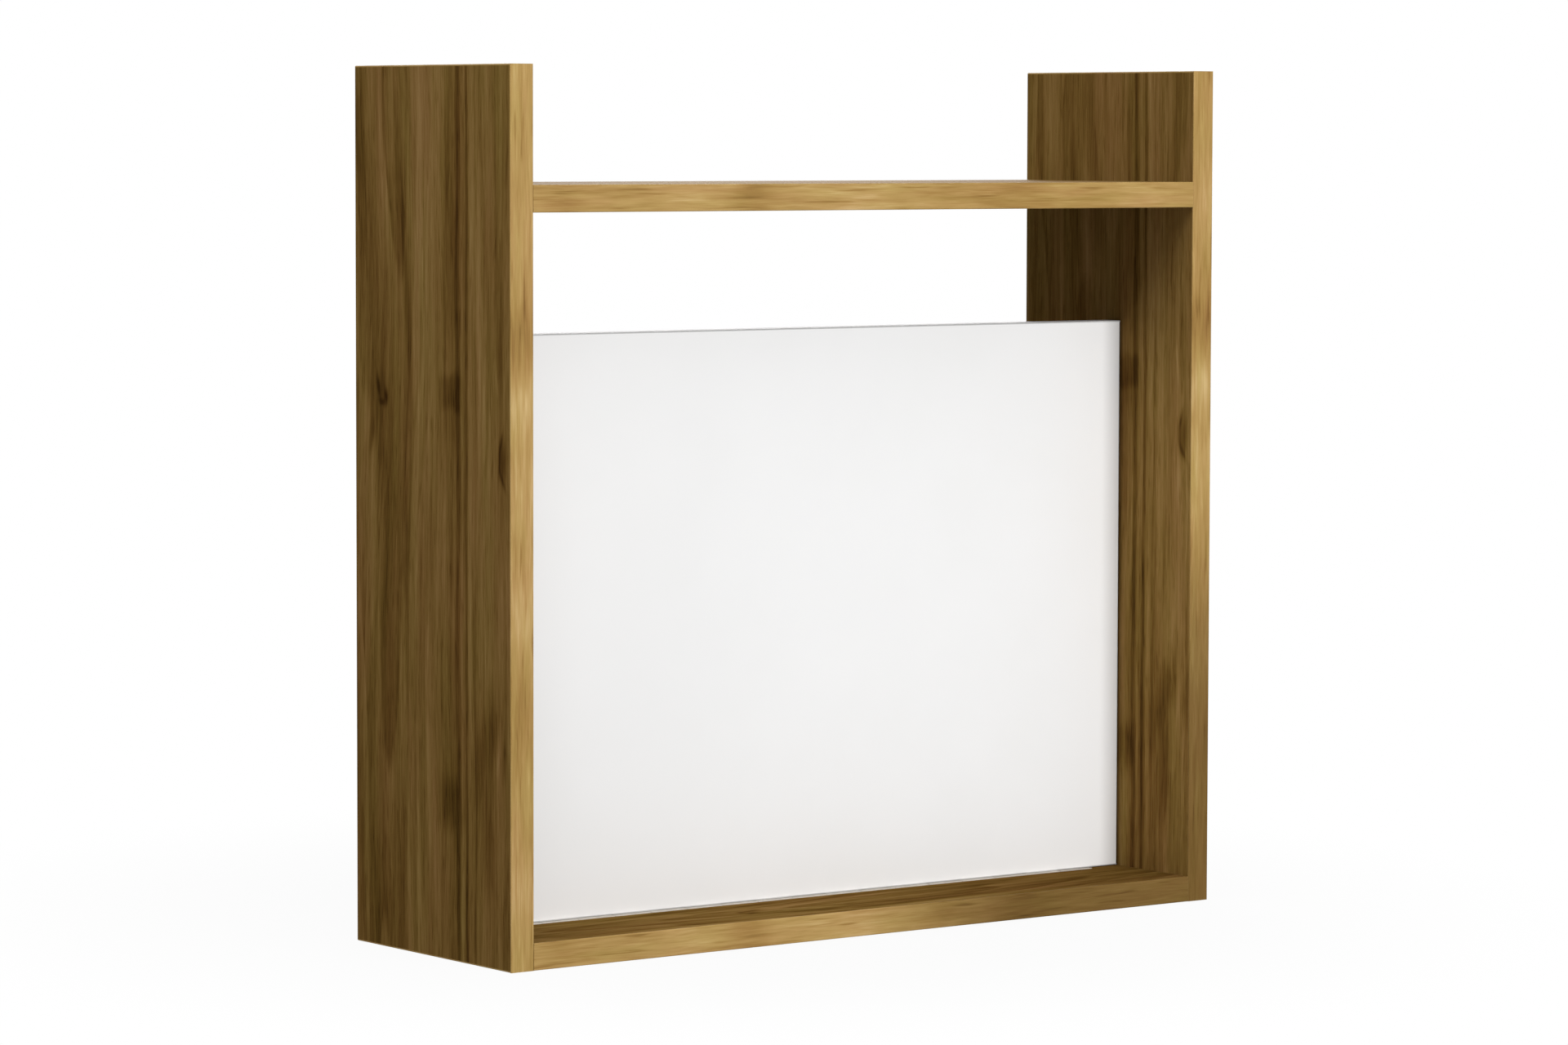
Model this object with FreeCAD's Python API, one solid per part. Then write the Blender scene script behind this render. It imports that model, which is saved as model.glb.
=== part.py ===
# Wall-mounted fold-down desk, in millimetres.
# A shallow frame of faced boards hangs on the wall: two sides, a shelf, a bottom board and a wall rail.
# The desk top is a white flap. It stands inside the frame on a continuous hinge, and tips forward until
# it lies on the bottom board.
# Axes: +X to the right seen from the front, +Y into the wall, +Z up. The origin is the middle of the
# wall-screw holes, on the plane of the wall.

import FreeCAD, Part
import math
import os
from FreeCAD import Vector

# Frame of boards
OUTER_WIDTH = 600.0
OUTER_HEIGHT = 590.0
OUTER_DEPTH = 185.0
BOARD = 18.0                # thickness of the wood-faced boards
EDGING = 1.0                # thickness of the edging strips
EDGE_RADIUS = 0.8           # rounding along a strip's outer corners
ROUNDING_SHARE = 0.9        # most of a strip's thickness that the rounding may take
SIDE_RISE = 78.0            # the sides above the shelf
HAND_GAP = 82.0             # between the shelf and the flap's top edge
RAIL_DROP = 72.0            # from the flap's top edge to the middle of the wall rail
RAIL_HEIGHT = 80.0

# Wall-screw holes in the rail, at the corners of a rectangle
WALL_HOLE_INSET = 82.0      # from the ends of the rail
WALL_HOLE_RISE = 40.0
WALL_HOLE_RADIUS = 2.75
WALL_HOLE_MOUTH = 5.5       # radius of the countersink where it opens

# Flap
FLAP_THICKNESS = 18.0
FLAP_RECESS = 77.0          # from the front of the frame to the flap's face
FLAP_SIDE_GAP = 1.5
FLAP_FOOT_GAP = 0.4         # under the flap's foot when it stands
FLAP_REST_GAP = 0.2         # under the flap's face when it lies on the bottom board

# Continuous hinge
HINGE_INSET = 25.5          # from the ends of the flap
KNUCKLE_COUNT = 17
KNUCKLE_GAP = 0.4           # between neighbouring knuckles
LEAF_THICKNESS = 1.0
LEAF_REACH = 16.0           # from the hinge's axis to the free edge of a leaf
LEAF_NOTCH = 0.4            # from the other leaf's knuckles
PIN_RADIUS = 1.1
PIN_CLEARANCE = 0.05
GROOVE_MARGIN = 0.5         # round the hinge in its groove
HINGE_SCREW_COUNT = 7       # in each leaf
HINGE_SCREW_END = 15.0      # from the ends of a leaf
HINGE_SCREW_INSET = 6.0     # from the free edge of a leaf

# Countersunk wood screws
SCREW_LENGTH = 12.0
SCREW_RADIUS = 1.5
SCREW_HEAD_RADIUS = 2.5
SCREW_TIP = 2.5             # length of the point
RECESS_REACH = 1.4          # from the middle of a cross recess to the end of its arms
RECESS_WIDTH = 0.6
RECESS_DEPTH = 0.9

# Cam joints between the boards
FIT = 0.1                   # between a fastener and its hole
HOLE_SPARE = 1.0            # left beyond the end of a fastener in a blind hole
CAM_SETBACK = 37.0          # from the front and back edges of a board
CAM_DISTANCE = 34.0         # from the end of a board to the middle of its cam
CAM_RADIUS = 7.5
CAM_ROOF = 1.0              # over the pocket for the bolt's head
CAM_RECESS_REACH = 4.0
CAM_RECESS_WIDTH = 1.6
CAM_RECESS_DEPTH = 2.0
BOLT_RADIUS = 2.5
BOLT_IN_SIDE = 11.0
BOLT_HEAD_RADIUS = 3.4
BOLT_HEAD_LENGTH = 4.5
BOLT_BORE_SPARE = 0.6       # round the bolt's head as it is pushed in
RAIL_DOWEL_INSET = 15.0     # from the top and bottom edges of the rail
DOWEL_RADIUS = 4.0
DOWEL_LENGTH = 30.0
DOWEL_IN_SIDE = 11.0
DOWEL_CHAMFER = 1.0

# Magnetic catches on the sides, behind the flap
CATCH_DROP = 38.0           # from the flap's top edge down to the middle of a catch
CATCH_BASE = 6.4            # from the side board to the nearer pole plate
CATCH_WALL = 2.2            # housing over the further pole plate
CATCH_END_WALL = 3.9        # housing above and below the magnet
CATCH_BACK_WALL = 4.4       # housing behind the magnet
CATCH_ROUNDING = 2.0
EAR_LENGTH = 10.0           # screw ears above and below the housing
EAR_THICKNESS = 2.5
MAGNET_LENGTH = 20.0
MAGNET_THICKNESS = 5.0
MAGNET_DEPTH = 9.0
MAGNET_SETBACK = 0.6        # behind the front of the housing
POLE_THICKNESS = 1.2
POLE_STAND = 0.8            # in front of the housing
STRIKE_LENGTH = 30.0
STRIKE_WIDTH = 12.0
STRIKE_THICKNESS = 1.0
STRIKE_CORNER = 2.0
CATCH_GAP = 0.2             # between pole plates and strike plate

# Places that follow from these sizes
FLAP_TOP_Z = RAIL_DROP
SHELF_Z = FLAP_TOP_Z + HAND_GAP
HEAD = SHELF_Z + BOARD + SIDE_RISE
FOOT = HEAD - OUTER_HEIGHT
BOTTOM_TOP = FOOT + BOARD
FRONT = -OUTER_DEPTH
BACK = 0.0
CORE_FRONT = FRONT + EDGING
RAIL_FRONT = BACK - BOARD
OUTSIDE = OUTER_WIDTH / 2
INSIDE = OUTSIDE - BOARD
FLAP_FACE = FRONT + FLAP_RECESS
FLAP_BACK = FLAP_FACE + FLAP_THICKNESS
FLAP_FOOT_Z = BOTTOM_TOP + FLAP_FOOT_GAP
FLAP_EDGE = INSIDE - FLAP_SIDE_GAP
HINGE_HALF = FLAP_EDGE - HINGE_INSET
BARREL_RADIUS = PIN_RADIUS + PIN_CLEARANCE + LEAF_THICKNESS
AXIS_Z = FLAP_FOOT_Z - BARREL_RADIUS
AXIS_Y = FLAP_FACE - (BOTTOM_TOP - AXIS_Z) - FLAP_REST_GAP
GROOVE_FLOOR = AXIS_Z - BARREL_RADIUS
CATCH_Z = FLAP_TOP_Z - CATCH_DROP
CATCH_HALF = MAGNET_LENGTH / 2 + FIT + CATCH_END_WALL
CATCH_REACH = CATCH_BASE + 2 * POLE_THICKNESS + MAGNET_THICKNESS + CATCH_WALL
MAGNET_REACH = CATCH_BASE + POLE_THICKNESS + MAGNET_THICKNESS / 2
POLE_FRONT = FLAP_BACK + STRIKE_THICKNESS + CATCH_GAP
HOUSING_FRONT = POLE_FRONT + POLE_STAND
MAGNET_FRONT = HOUSING_FRONT + MAGNET_SETBACK
MAGNET_BACK = MAGNET_FRONT + MAGNET_DEPTH
HOUSING_BACK = MAGNET_BACK + CATCH_BACK_WALL
CAM_CROWN = BOLT_HEAD_RADIUS + FIT + CAM_ROOF

X = Vector(1, 0, 0)
Y = Vector(0, 1, 0)
Z = Vector(0, 0, 1)
SIDES = {"left": -1, "right": 1}
PARALLEL = 0.99             # least cosine at which an edge counts as running along a direction


# Shared shapes

def block(x, y, z):
    """A squared block from the low and high values along each axis."""
    corner = Vector(x[0], y[0], z[0])
    return Part.makeBox(x[1] - x[0], y[1] - y[0], z[1] - z[0], corner)


def turned(profile):
    """A turned piece along +Z from points of height and radius, closed along its axis."""
    points = [Vector(radius, 0, height) for height, radius in profile]
    points.append(points[0])
    return Part.Face(Part.makePolygon(points)).revolve(Vector(), Z, 360)


def placed(shape, position, direction, spin=0.0):
    """A copy of a piece with its own +Z turned to a direction, after a spin about that axis."""
    copy = shape.copy()
    turn = FreeCAD.Rotation(Z, direction).multiply(FreeCAD.Rotation(Z, spin))
    copy.Placement = FreeCAD.Placement(position, turn)
    return copy


def cut_from(shape, cutters):
    """A shape with every one of the cutters taken out of it."""
    return shape.cut(cutters).removeSplitter()


def cross_recess(reach, width, depth):
    """The cross that a driver fits, cut down from the plane of a head at z = 0 towards +Z."""
    arm = block((-reach, reach), (-width / 2, width / 2), (0, depth))
    return arm.fuse(placed(arm, Vector(), Z, 90))


def edges_along(shape, direction):
    """The straight edges of a block that run along a direction."""

    def runs_along(edge):
        return abs(edge.tangentAt(edge.FirstParameter).dot(direction)) > PARALLEL

    return [edge for edge in shape.Edges if runs_along(edge)]


def edging_strip(corner, along, out, across, length, width):
    """A strip glued on a board's edge, with its two outer long corners rounded."""
    radius = min(EDGE_RADIUS, ROUNDING_SHARE * EDGING)
    bulge = radius * math.sin(math.radians(45))

    def point(depth, offset):
        return corner + out * depth + across * offset

    shoulder = EDGING - radius
    foot = point(0, 0)
    crown = point(0, width)
    low_start = point(shoulder, 0)
    low_middle = point(shoulder + bulge, radius - bulge)
    low_end = point(EDGING, radius)
    high_start = point(EDGING, width - radius)
    high_middle = point(shoulder + bulge, width - radius + bulge)
    high_end = point(shoulder, width)
    outline = Part.Wire([
        Part.LineSegment(foot, low_start).toShape(),
        Part.Arc(low_start, low_middle, low_end).toShape(),
        Part.LineSegment(low_end, high_start).toShape(),
        Part.Arc(high_start, high_middle, high_end).toShape(),
        Part.LineSegment(high_end, crown).toShape(),
        Part.LineSegment(crown, foot).toShape(),
    ])
    return Part.Face(outline).extrude(along * length)


# Wood screws

def wood_screw():
    """A countersunk screw with its head's top at the origin and its point towards +Z."""
    screw = turned([
        (0, 0),
        (0, SCREW_HEAD_RADIUS),
        (SCREW_HEAD_RADIUS - SCREW_RADIUS, SCREW_RADIUS),
        (SCREW_LENGTH - SCREW_TIP, SCREW_RADIUS),
        (SCREW_LENGTH, 0),
    ])
    return screw.cut(cross_recess(RECESS_REACH, RECESS_WIDTH, RECESS_DEPTH))


def screw_hole():
    """The countersunk hole that such a screw sits in, through everything that it passes."""
    depth = SCREW_LENGTH + HOLE_SPARE
    return turned([
        (0, 0),
        (0, SCREW_HEAD_RADIUS + FIT),
        (SCREW_HEAD_RADIUS - SCREW_RADIUS, SCREW_RADIUS + FIT),
        (depth, SCREW_RADIUS + FIT),
        (depth, 0),
    ])


def each_placed(shape, spots):
    """Copies of a fastener at each spot, given as its position and direction."""
    return [placed(shape, position, direction) for position, direction in spots]


def hinge_screw_spots(height, direction):
    """Where the screws of one hinge leaf stand."""
    first = HINGE_SCREW_END - HINGE_HALF
    pitch = -2 * first / (HINGE_SCREW_COUNT - 1)
    y = AXIS_Y + LEAF_REACH - HINGE_SCREW_INSET
    return [(Vector(first + step * pitch, y, height), direction) for step in range(HINGE_SCREW_COUNT)]


BOARD_LEAF_SCREWS = hinge_screw_spots(GROOVE_FLOOR + LEAF_THICKNESS, -Z)
FLAP_LEAF_SCREWS = hinge_screw_spots(FLAP_FOOT_Z - LEAF_THICKNESS, Z)


def catch_screw_spots(side):
    """Where the two screws through the ears of one catch stand."""
    x = side * (INSIDE - EAR_THICKNESS)
    y = (HOUSING_FRONT + HOUSING_BACK) / 2
    offset = CATCH_HALF + EAR_LENGTH / 2
    return [(Vector(x, y, CATCH_Z + step * offset), X * side) for step in (-1, 1)]


def strike_screw_spot(side):
    """Where the screw through one strike plate stands."""
    return Vector(side * (INSIDE - MAGNET_REACH), FLAP_BACK + STRIKE_THICKNESS, CATCH_Z), -Y


# Cam joints: a bolt screwed into the side enters the end of a board, where a cam pulls on its head

def board_joint(height):
    """Places, as y and z, in the end of a level board: two dowels, evenly spaced between two bolts."""
    front = FRONT + CAM_SETBACK
    back = BACK - CAM_SETBACK
    pitch = (back - front) / 3
    bolts = [(front, height), (back, height)]
    dowels = [(front + pitch, height), (back - pitch, height)]
    return {"bolts": bolts, "dowels": dowels, "cam_axis": Z}


def rail_joint():
    """Places, as y and z, in the end of the upright rail: a bolt between two dowels."""
    y = BACK - BOARD / 2
    offset = RAIL_HEIGHT / 2 - RAIL_DOWEL_INSET
    dowels = [(y, -offset), (y, offset)]
    return {"bolts": [(y, 0)], "dowels": dowels, "cam_axis": -Y}


JOINTS = {
    "shelf": board_joint(SHELF_Z + BOARD / 2),
    "bottom": board_joint(FOOT + BOARD / 2),
    "rail": rail_joint(),
}


def cam_lock():
    """A round cam about Z, open face down: its bolt comes from the -X side, its entry is on the +Y side."""
    body = Part.makeCylinder(CAM_RADIUS - FIT, BOARD / 2 + CAM_CROWN, Vector(0, 0, -BOARD / 2))
    head_room = BOLT_HEAD_RADIUS + FIT
    shank_room = BOLT_RADIUS + FIT
    pocket_radius = math.hypot(BOLT_HEAD_RADIUS, BOLT_HEAD_LENGTH / 2) + FIT
    pocket = Part.makeCylinder(pocket_radius, 2 * head_room, Vector(0, 0, -head_room))
    slot = block((-CAM_RADIUS, 0), (-CAM_RADIUS, CAM_RADIUS), (-shank_room, shank_room))
    entry = block((-head_room, head_room), (0, CAM_RADIUS), (-head_room, head_room))
    cross = cross_recess(CAM_RECESS_REACH, CAM_RECESS_WIDTH, CAM_RECESS_DEPTH)
    cross.translate(Vector(0, 0, -BOARD / 2))
    return cut_from(body, [pocket, slot, entry, cross])


def cam_bolt():
    """A bolt along Z: below z = 0 it is screwed into the side, and its head reaches the cam."""
    head_start = CAM_DISTANCE - BOLT_HEAD_LENGTH / 2
    head_end = CAM_DISTANCE + BOLT_HEAD_LENGTH / 2
    return turned([
        (-BOLT_IN_SIDE, 0),
        (-BOLT_IN_SIDE, BOLT_RADIUS),
        (head_start, BOLT_RADIUS),
        (head_start, BOLT_HEAD_RADIUS),
        (head_end, BOLT_HEAD_RADIUS),
        (head_end, 0),
    ])


def dowel():
    """A dowel along Z with chamfered ends, part below z = 0 in the side."""
    low = -DOWEL_IN_SIDE
    high = DOWEL_LENGTH - DOWEL_IN_SIDE
    shoulder = DOWEL_RADIUS - DOWEL_CHAMFER
    return turned([
        (low, 0),
        (low, shoulder),
        (low + DOWEL_CHAMFER, DOWEL_RADIUS),
        (high - DOWEL_CHAMFER, DOWEL_RADIUS),
        (high, shoulder),
        (high, 0),
    ])


def bolts_on(side):
    """All cam bolts screwed into one side."""
    bolt = cam_bolt()
    spots = [spot for joint in JOINTS.values() for spot in joint["bolts"]]
    return [placed(bolt, Vector(side * INSIDE, y, z), -X * side) for y, z in spots]


def dowels_on(side):
    """All dowels between one side and the boards."""
    pin = dowel()
    spots = [spot for joint in JOINTS.values() for spot in joint["dowels"]]
    return [placed(pin, Vector(side * INSIDE, y, z), -X * side) for y, z in spots]


def cams_in(name):
    """The cams at both ends of one board."""
    cam = cam_lock()
    joint = JOINTS[name]
    cams = []
    for side in SIDES.values():
        spin = 0 if side < 0 else 180
        for y, z in joint["bolts"]:
            middle = Vector(side * (INSIDE - CAM_DISTANCE), y, z)
            cams.append(placed(cam, middle, joint["cam_axis"], spin))
    return cams


def holes_in_board(name):
    """Cam, bolt and dowel holes at both ends of one board."""
    joint = JOINTS[name]
    cam_axis = joint["cam_axis"]
    bore_radius = BOLT_HEAD_RADIUS + BOLT_BORE_SPARE
    dowel_depth = DOWEL_LENGTH - DOWEL_IN_SIDE + HOLE_SPARE
    holes = []
    for side in SIDES.values():
        inward = -X * side
        for y, z in joint["bolts"]:
            end = Vector(side * INSIDE, y, z)
            middle = end + inward * CAM_DISTANCE
            open_face = middle - cam_axis * (BOARD / 2)
            holes.append(Part.makeCylinder(bore_radius, CAM_DISTANCE, end, inward))
            holes.append(Part.makeCylinder(CAM_RADIUS, BOARD / 2 + CAM_CROWN, open_face, cam_axis))
        for y, z in joint["dowels"]:
            end = Vector(side * INSIDE, y, z)
            holes.append(Part.makeCylinder(DOWEL_RADIUS + FIT, dowel_depth, end, inward))
    return holes


def holes_in_side(side):
    """Bolt and dowel holes in the inner face of one side."""
    outward = X * side
    bolt_depth = BOLT_IN_SIDE + HOLE_SPARE
    dowel_depth = DOWEL_IN_SIDE + HOLE_SPARE
    holes = []
    for joint in JOINTS.values():
        for y, z in joint["bolts"]:
            start = Vector(side * INSIDE, y, z)
            holes.append(Part.makeCylinder(BOLT_RADIUS + FIT, bolt_depth, start, outward))
        for y, z in joint["dowels"]:
            start = Vector(side * INSIDE, y, z)
            holes.append(Part.makeCylinder(DOWEL_RADIUS + FIT, dowel_depth, start, outward))
    return holes


# Boards of the frame

def across_side(side):
    """The low and high x of one side board."""
    return sorted((side * INSIDE, side * OUTSIDE))


def side_board(side):
    """A full-height side, drilled on its inner face."""
    board = block(across_side(side), (CORE_FRONT, BACK), (FOOT + EDGING, HEAD - EDGING))
    screws = each_placed(screw_hole(), catch_screw_spots(side))
    return cut_from(board, holes_in_side(side) + screws)


def side_edging(side):
    """The strips on the front, top and bottom edges of one side."""
    low = across_side(side)[0]
    depth = BACK - CORE_FRONT
    return {
        "front": edging_strip(Vector(low, CORE_FRONT, FOOT), Z, -Y, X, OUTER_HEIGHT, BOARD),
        "top": edging_strip(Vector(low, CORE_FRONT, HEAD - EDGING), Y, Z, X, depth, BOARD),
        "bottom": edging_strip(Vector(low, CORE_FRONT, FOOT + EDGING), Y, -Z, X, depth, BOARD),
    }


def level_board(name, underside):
    """A board between the sides, drilled at its ends."""
    board = block((-INSIDE, INSIDE), (CORE_FRONT, BACK), (underside, underside + BOARD))
    return cut_from(board, holes_in_board(name))


def level_edging(underside):
    """The strip on the front edge of a board between the sides."""
    corner = Vector(-INSIDE, CORE_FRONT, underside)
    return edging_strip(corner, X, -Y, Z, 2 * INSIDE, BOARD)


def bottom_board():
    """The bottom board, with the groove that the hinge is sunk in."""
    half = HINGE_HALF + GROOVE_MARGIN
    front = AXIS_Y - BARREL_RADIUS - GROOVE_MARGIN
    back = AXIS_Y + LEAF_REACH + GROOVE_MARGIN
    groove = block((-half, half), (front, back), (GROOVE_FLOOR, BOTTOM_TOP))
    screws = each_placed(screw_hole(), BOARD_LEAF_SCREWS)
    return cut_from(level_board("bottom", FOOT), [groove] + screws)


def wall_rail():
    """The rail behind the flap, with countersunk holes for the wall screws."""
    half = RAIL_HEIGHT / 2
    rail = block((-INSIDE, INSIDE), (RAIL_FRONT, BACK), (EDGING - half, half - EDGING))
    flare = WALL_HOLE_MOUTH - WALL_HOLE_RADIUS
    hole = turned([
        (0, 0),
        (0, WALL_HOLE_MOUTH),
        (flare, WALL_HOLE_RADIUS),
        (BOARD, WALL_HOLE_RADIUS),
        (BOARD, 0),
    ])
    offset = INSIDE - WALL_HOLE_INSET
    holes = []
    for x in (-offset, offset):
        for z in (-WALL_HOLE_RISE / 2, WALL_HOLE_RISE / 2):
            holes.append(placed(hole, Vector(x, RAIL_FRONT, z), Y))
    return cut_from(rail, holes_in_board("rail") + holes)


def rail_edging(end):
    """The strip on the top (1) or bottom (-1) edge of the rail."""
    corner = Vector(-INSIDE, RAIL_FRONT, end * (RAIL_HEIGHT / 2 - EDGING))
    return edging_strip(corner, X, Z * end, Y, 2 * INSIDE, BOARD)


# Flap

def flap_board():
    """The white board of the flap, drilled for its hinge and strike screws."""
    half = FLAP_EDGE - EDGING
    board = block((-half, half), (FLAP_FACE, FLAP_BACK), (FLAP_FOOT_Z + EDGING, FLAP_TOP_Z - EDGING))
    strikes = [strike_screw_spot(side) for side in SIDES.values()]
    return cut_from(board, each_placed(screw_hole(), FLAP_LEAF_SCREWS + strikes))


def flap_edging():
    """The strips round the flap: the top and bottom ones run its full width."""
    half = FLAP_EDGE - EDGING
    low = FLAP_FOOT_Z + EDGING
    high = FLAP_TOP_Z - EDGING
    rise = high - low
    bottom = edging_strip(Vector(-FLAP_EDGE, FLAP_FACE, low), X, -Z, Y, 2 * FLAP_EDGE, FLAP_THICKNESS)
    return {
        "top": edging_strip(Vector(-FLAP_EDGE, FLAP_FACE, high), X, Z, Y, 2 * FLAP_EDGE, FLAP_THICKNESS),
        "bottom": cut_from(bottom, each_placed(screw_hole(), FLAP_LEAF_SCREWS)),
        "left": edging_strip(Vector(-half, FLAP_FACE, low), Z, -X, Y, rise, FLAP_THICKNESS),
        "right": edging_strip(Vector(half, FLAP_FACE, low), Z, X, Y, rise, FLAP_THICKNESS),
    }


# Continuous hinge

def hinge_leaf(first_knuckle, face, screw_spots):
    """One leaf: a plate on the upper (1) or lower (-1) face, rolled into every second knuckle."""
    pitch = 2 * HINGE_HALF / KNUCKLE_COUNT
    plate_z = sorted((face * BARREL_RADIUS, face * (BARREL_RADIUS - LEAF_THICKNESS)))
    notch = BARREL_RADIUS + LEAF_NOTCH
    length = pitch - KNUCKLE_GAP
    plate = block((-HINGE_HALF, HINGE_HALF), (notch, LEAF_REACH), plate_z)
    barrel = Part.makeCylinder(BARREL_RADIUS, length, Vector(), X)
    root = block((0, length), (0, notch), plate_z)
    bore = Part.makeCylinder(PIN_RADIUS + PIN_CLEARANCE, length, Vector(), X)
    knuckle = barrel.fuse(root).cut(bore)
    knuckles = []
    for index in range(first_knuckle, KNUCKLE_COUNT, 2):
        knuckles.append(knuckle.translated(X * (index * pitch - HINGE_HALF + KNUCKLE_GAP / 2)))
    leaf = plate.fuse(knuckles)
    leaf.translate(Vector(0, AXIS_Y, AXIS_Z))
    return cut_from(leaf, each_placed(screw_hole(), screw_spots))


def hinge_pin():
    """The wire that both leaves turn on."""
    return Part.makeCylinder(PIN_RADIUS, 2 * HINGE_HALF, Vector(-HINGE_HALF, AXIS_Y, AXIS_Z), X)


# Magnetic catches and strike plates

def about(middle, half):
    """Low and high values at an equal distance from a middle."""
    return middle - half, middle + half


def catch_housing(side):
    """A moulded housing: a body with two screw ears, and a pocket open to the flap."""
    y = (HOUSING_FRONT, HOUSING_BACK)
    wall = side * INSIDE
    ears_x = sorted((wall, wall - side * EAR_THICKNESS))
    ears = block(ears_x, y, about(CATCH_Z, CATCH_HALF + EAR_LENGTH))
    ears = ears.makeFillet(CATCH_ROUNDING, edges_along(ears, X))
    body_x = sorted((wall, wall - side * CATCH_REACH))
    body = block(body_x, y, about(CATCH_Z, CATCH_HALF))
    outer = [edge for edge in edges_along(body, Y) if abs(edge.CenterOfMass.x) < INSIDE - EAR_THICKNESS]
    body = body.makeFillet(CATCH_ROUNDING, outer)
    pocket = block(
        about(side * (INSIDE - MAGNET_REACH), MAGNET_THICKNESS / 2 + POLE_THICKNESS + FIT),
        (HOUSING_FRONT, MAGNET_BACK),
        about(CATCH_Z, MAGNET_LENGTH / 2 + FIT),
    )
    return cut_from(ears.fuse(body), [pocket] + each_placed(screw_hole(), catch_screw_spots(side)))


def magnet(side):
    """The magnet between its two pole plates."""
    x = about(side * (INSIDE - MAGNET_REACH), MAGNET_THICKNESS / 2)
    return block(x, (MAGNET_FRONT, MAGNET_BACK), about(CATCH_Z, MAGNET_LENGTH / 2))


def pole_plates(side):
    """The two steel plates that carry the pull from the magnet to the strike plate."""
    y = (POLE_FRONT, MAGNET_BACK)
    z = about(CATCH_Z, MAGNET_LENGTH / 2)
    plates = []
    for inner in about(side * (INSIDE - MAGNET_REACH), (MAGNET_THICKNESS + POLE_THICKNESS) / 2):
        plates.append(block(about(inner, POLE_THICKNESS / 2), y, z))
    return plates


def strike_plate(side):
    """A steel plate with round corners, screwed to the back of the flap."""
    plate = block(
        about(side * (INSIDE - MAGNET_REACH), STRIKE_WIDTH / 2),
        (FLAP_BACK, FLAP_BACK + STRIKE_THICKNESS),
        about(CATCH_Z, STRIKE_LENGTH / 2),
    )
    plate = plate.makeFillet(STRIKE_CORNER, edges_along(plate, Y))
    return cut_from(plate, each_placed(screw_hole(), [strike_screw_spot(side)]))


# Assembly: every node, with the solids that it holds

nodes = {
    "shelf_board": [level_board("shelf", SHELF_Z)],
    "shelf_front_edging": [level_edging(SHELF_Z)],
    "bottom_board": [bottom_board()],
    "bottom_front_edging": [level_edging(FOOT)],
    "wall_rail": [wall_rail()],
    "wall_rail_top_edging": [rail_edging(1)],
    "wall_rail_bottom_edging": [rail_edging(-1)],
    "flap_board": [flap_board()],
    "hinge_board_leaf": [hinge_leaf(0, -1, BOARD_LEAF_SCREWS)],
    "hinge_flap_leaf": [hinge_leaf(1, 1, FLAP_LEAF_SCREWS)],
    "hinge_pin": [hinge_pin()],
    "hinge_board_screws": each_placed(wood_screw(), BOARD_LEAF_SCREWS),
    "hinge_flap_screws": each_placed(wood_screw(), FLAP_LEAF_SCREWS),
}
for name in JOINTS:
    nodes[name + "_cams"] = cams_in(name)
for name, strip in flap_edging().items():
    nodes["flap_" + name + "_edging"] = [strip]
for name, side in SIDES.items():
    nodes[name + "_side_board"] = [side_board(side)]
    for edge, strip in side_edging(side).items():
        nodes[name + "_side_" + edge + "_edging"] = [strip]
    nodes[name + "_cam_bolts"] = bolts_on(side)
    nodes[name + "_dowels"] = dowels_on(side)
    nodes[name + "_catch_housing"] = [catch_housing(side)]
    nodes[name + "_catch_magnet"] = [magnet(side)]
    nodes[name + "_catch_pole_plates"] = pole_plates(side)
    nodes[name + "_catch_screws"] = each_placed(wood_screw(), catch_screw_spots(side))
    nodes[name + "_strike_plate"] = [strike_plate(side)]
    nodes[name + "_strike_screw"] = each_placed(wood_screw(), [strike_screw_spot(side)])

os.makedirs("parts", exist_ok=True)
for name, solids in nodes.items():
    shape = solids[0] if len(solids) == 1 else Part.makeCompound(solids)
    shape.exportStep("parts/" + name + ".step")
print(len(nodes), "nodes,", sum(len(solids) for solids in nodes.values()), "solids")
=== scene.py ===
import itertools
import math

import bpy
from mathutils import Matrix, Vector


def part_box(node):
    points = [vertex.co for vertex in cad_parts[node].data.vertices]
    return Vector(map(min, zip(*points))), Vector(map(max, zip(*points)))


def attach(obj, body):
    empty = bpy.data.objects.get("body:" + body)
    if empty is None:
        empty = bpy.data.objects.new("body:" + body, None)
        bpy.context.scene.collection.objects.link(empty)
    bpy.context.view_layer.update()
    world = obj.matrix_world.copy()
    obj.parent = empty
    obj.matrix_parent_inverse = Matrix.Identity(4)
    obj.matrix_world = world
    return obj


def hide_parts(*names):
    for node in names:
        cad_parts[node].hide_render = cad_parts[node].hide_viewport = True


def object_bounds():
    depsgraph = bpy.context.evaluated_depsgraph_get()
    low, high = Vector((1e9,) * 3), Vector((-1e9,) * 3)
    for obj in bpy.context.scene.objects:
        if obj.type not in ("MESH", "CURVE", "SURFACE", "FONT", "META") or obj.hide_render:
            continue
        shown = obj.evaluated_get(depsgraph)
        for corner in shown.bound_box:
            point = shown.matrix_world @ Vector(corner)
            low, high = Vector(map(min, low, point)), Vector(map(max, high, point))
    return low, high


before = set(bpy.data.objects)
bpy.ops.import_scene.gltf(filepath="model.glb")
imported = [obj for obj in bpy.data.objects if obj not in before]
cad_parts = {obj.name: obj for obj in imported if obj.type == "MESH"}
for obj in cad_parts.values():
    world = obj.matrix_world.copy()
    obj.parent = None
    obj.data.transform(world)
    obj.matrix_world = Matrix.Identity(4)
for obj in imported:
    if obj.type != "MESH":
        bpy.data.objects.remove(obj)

cad_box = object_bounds()


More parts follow.
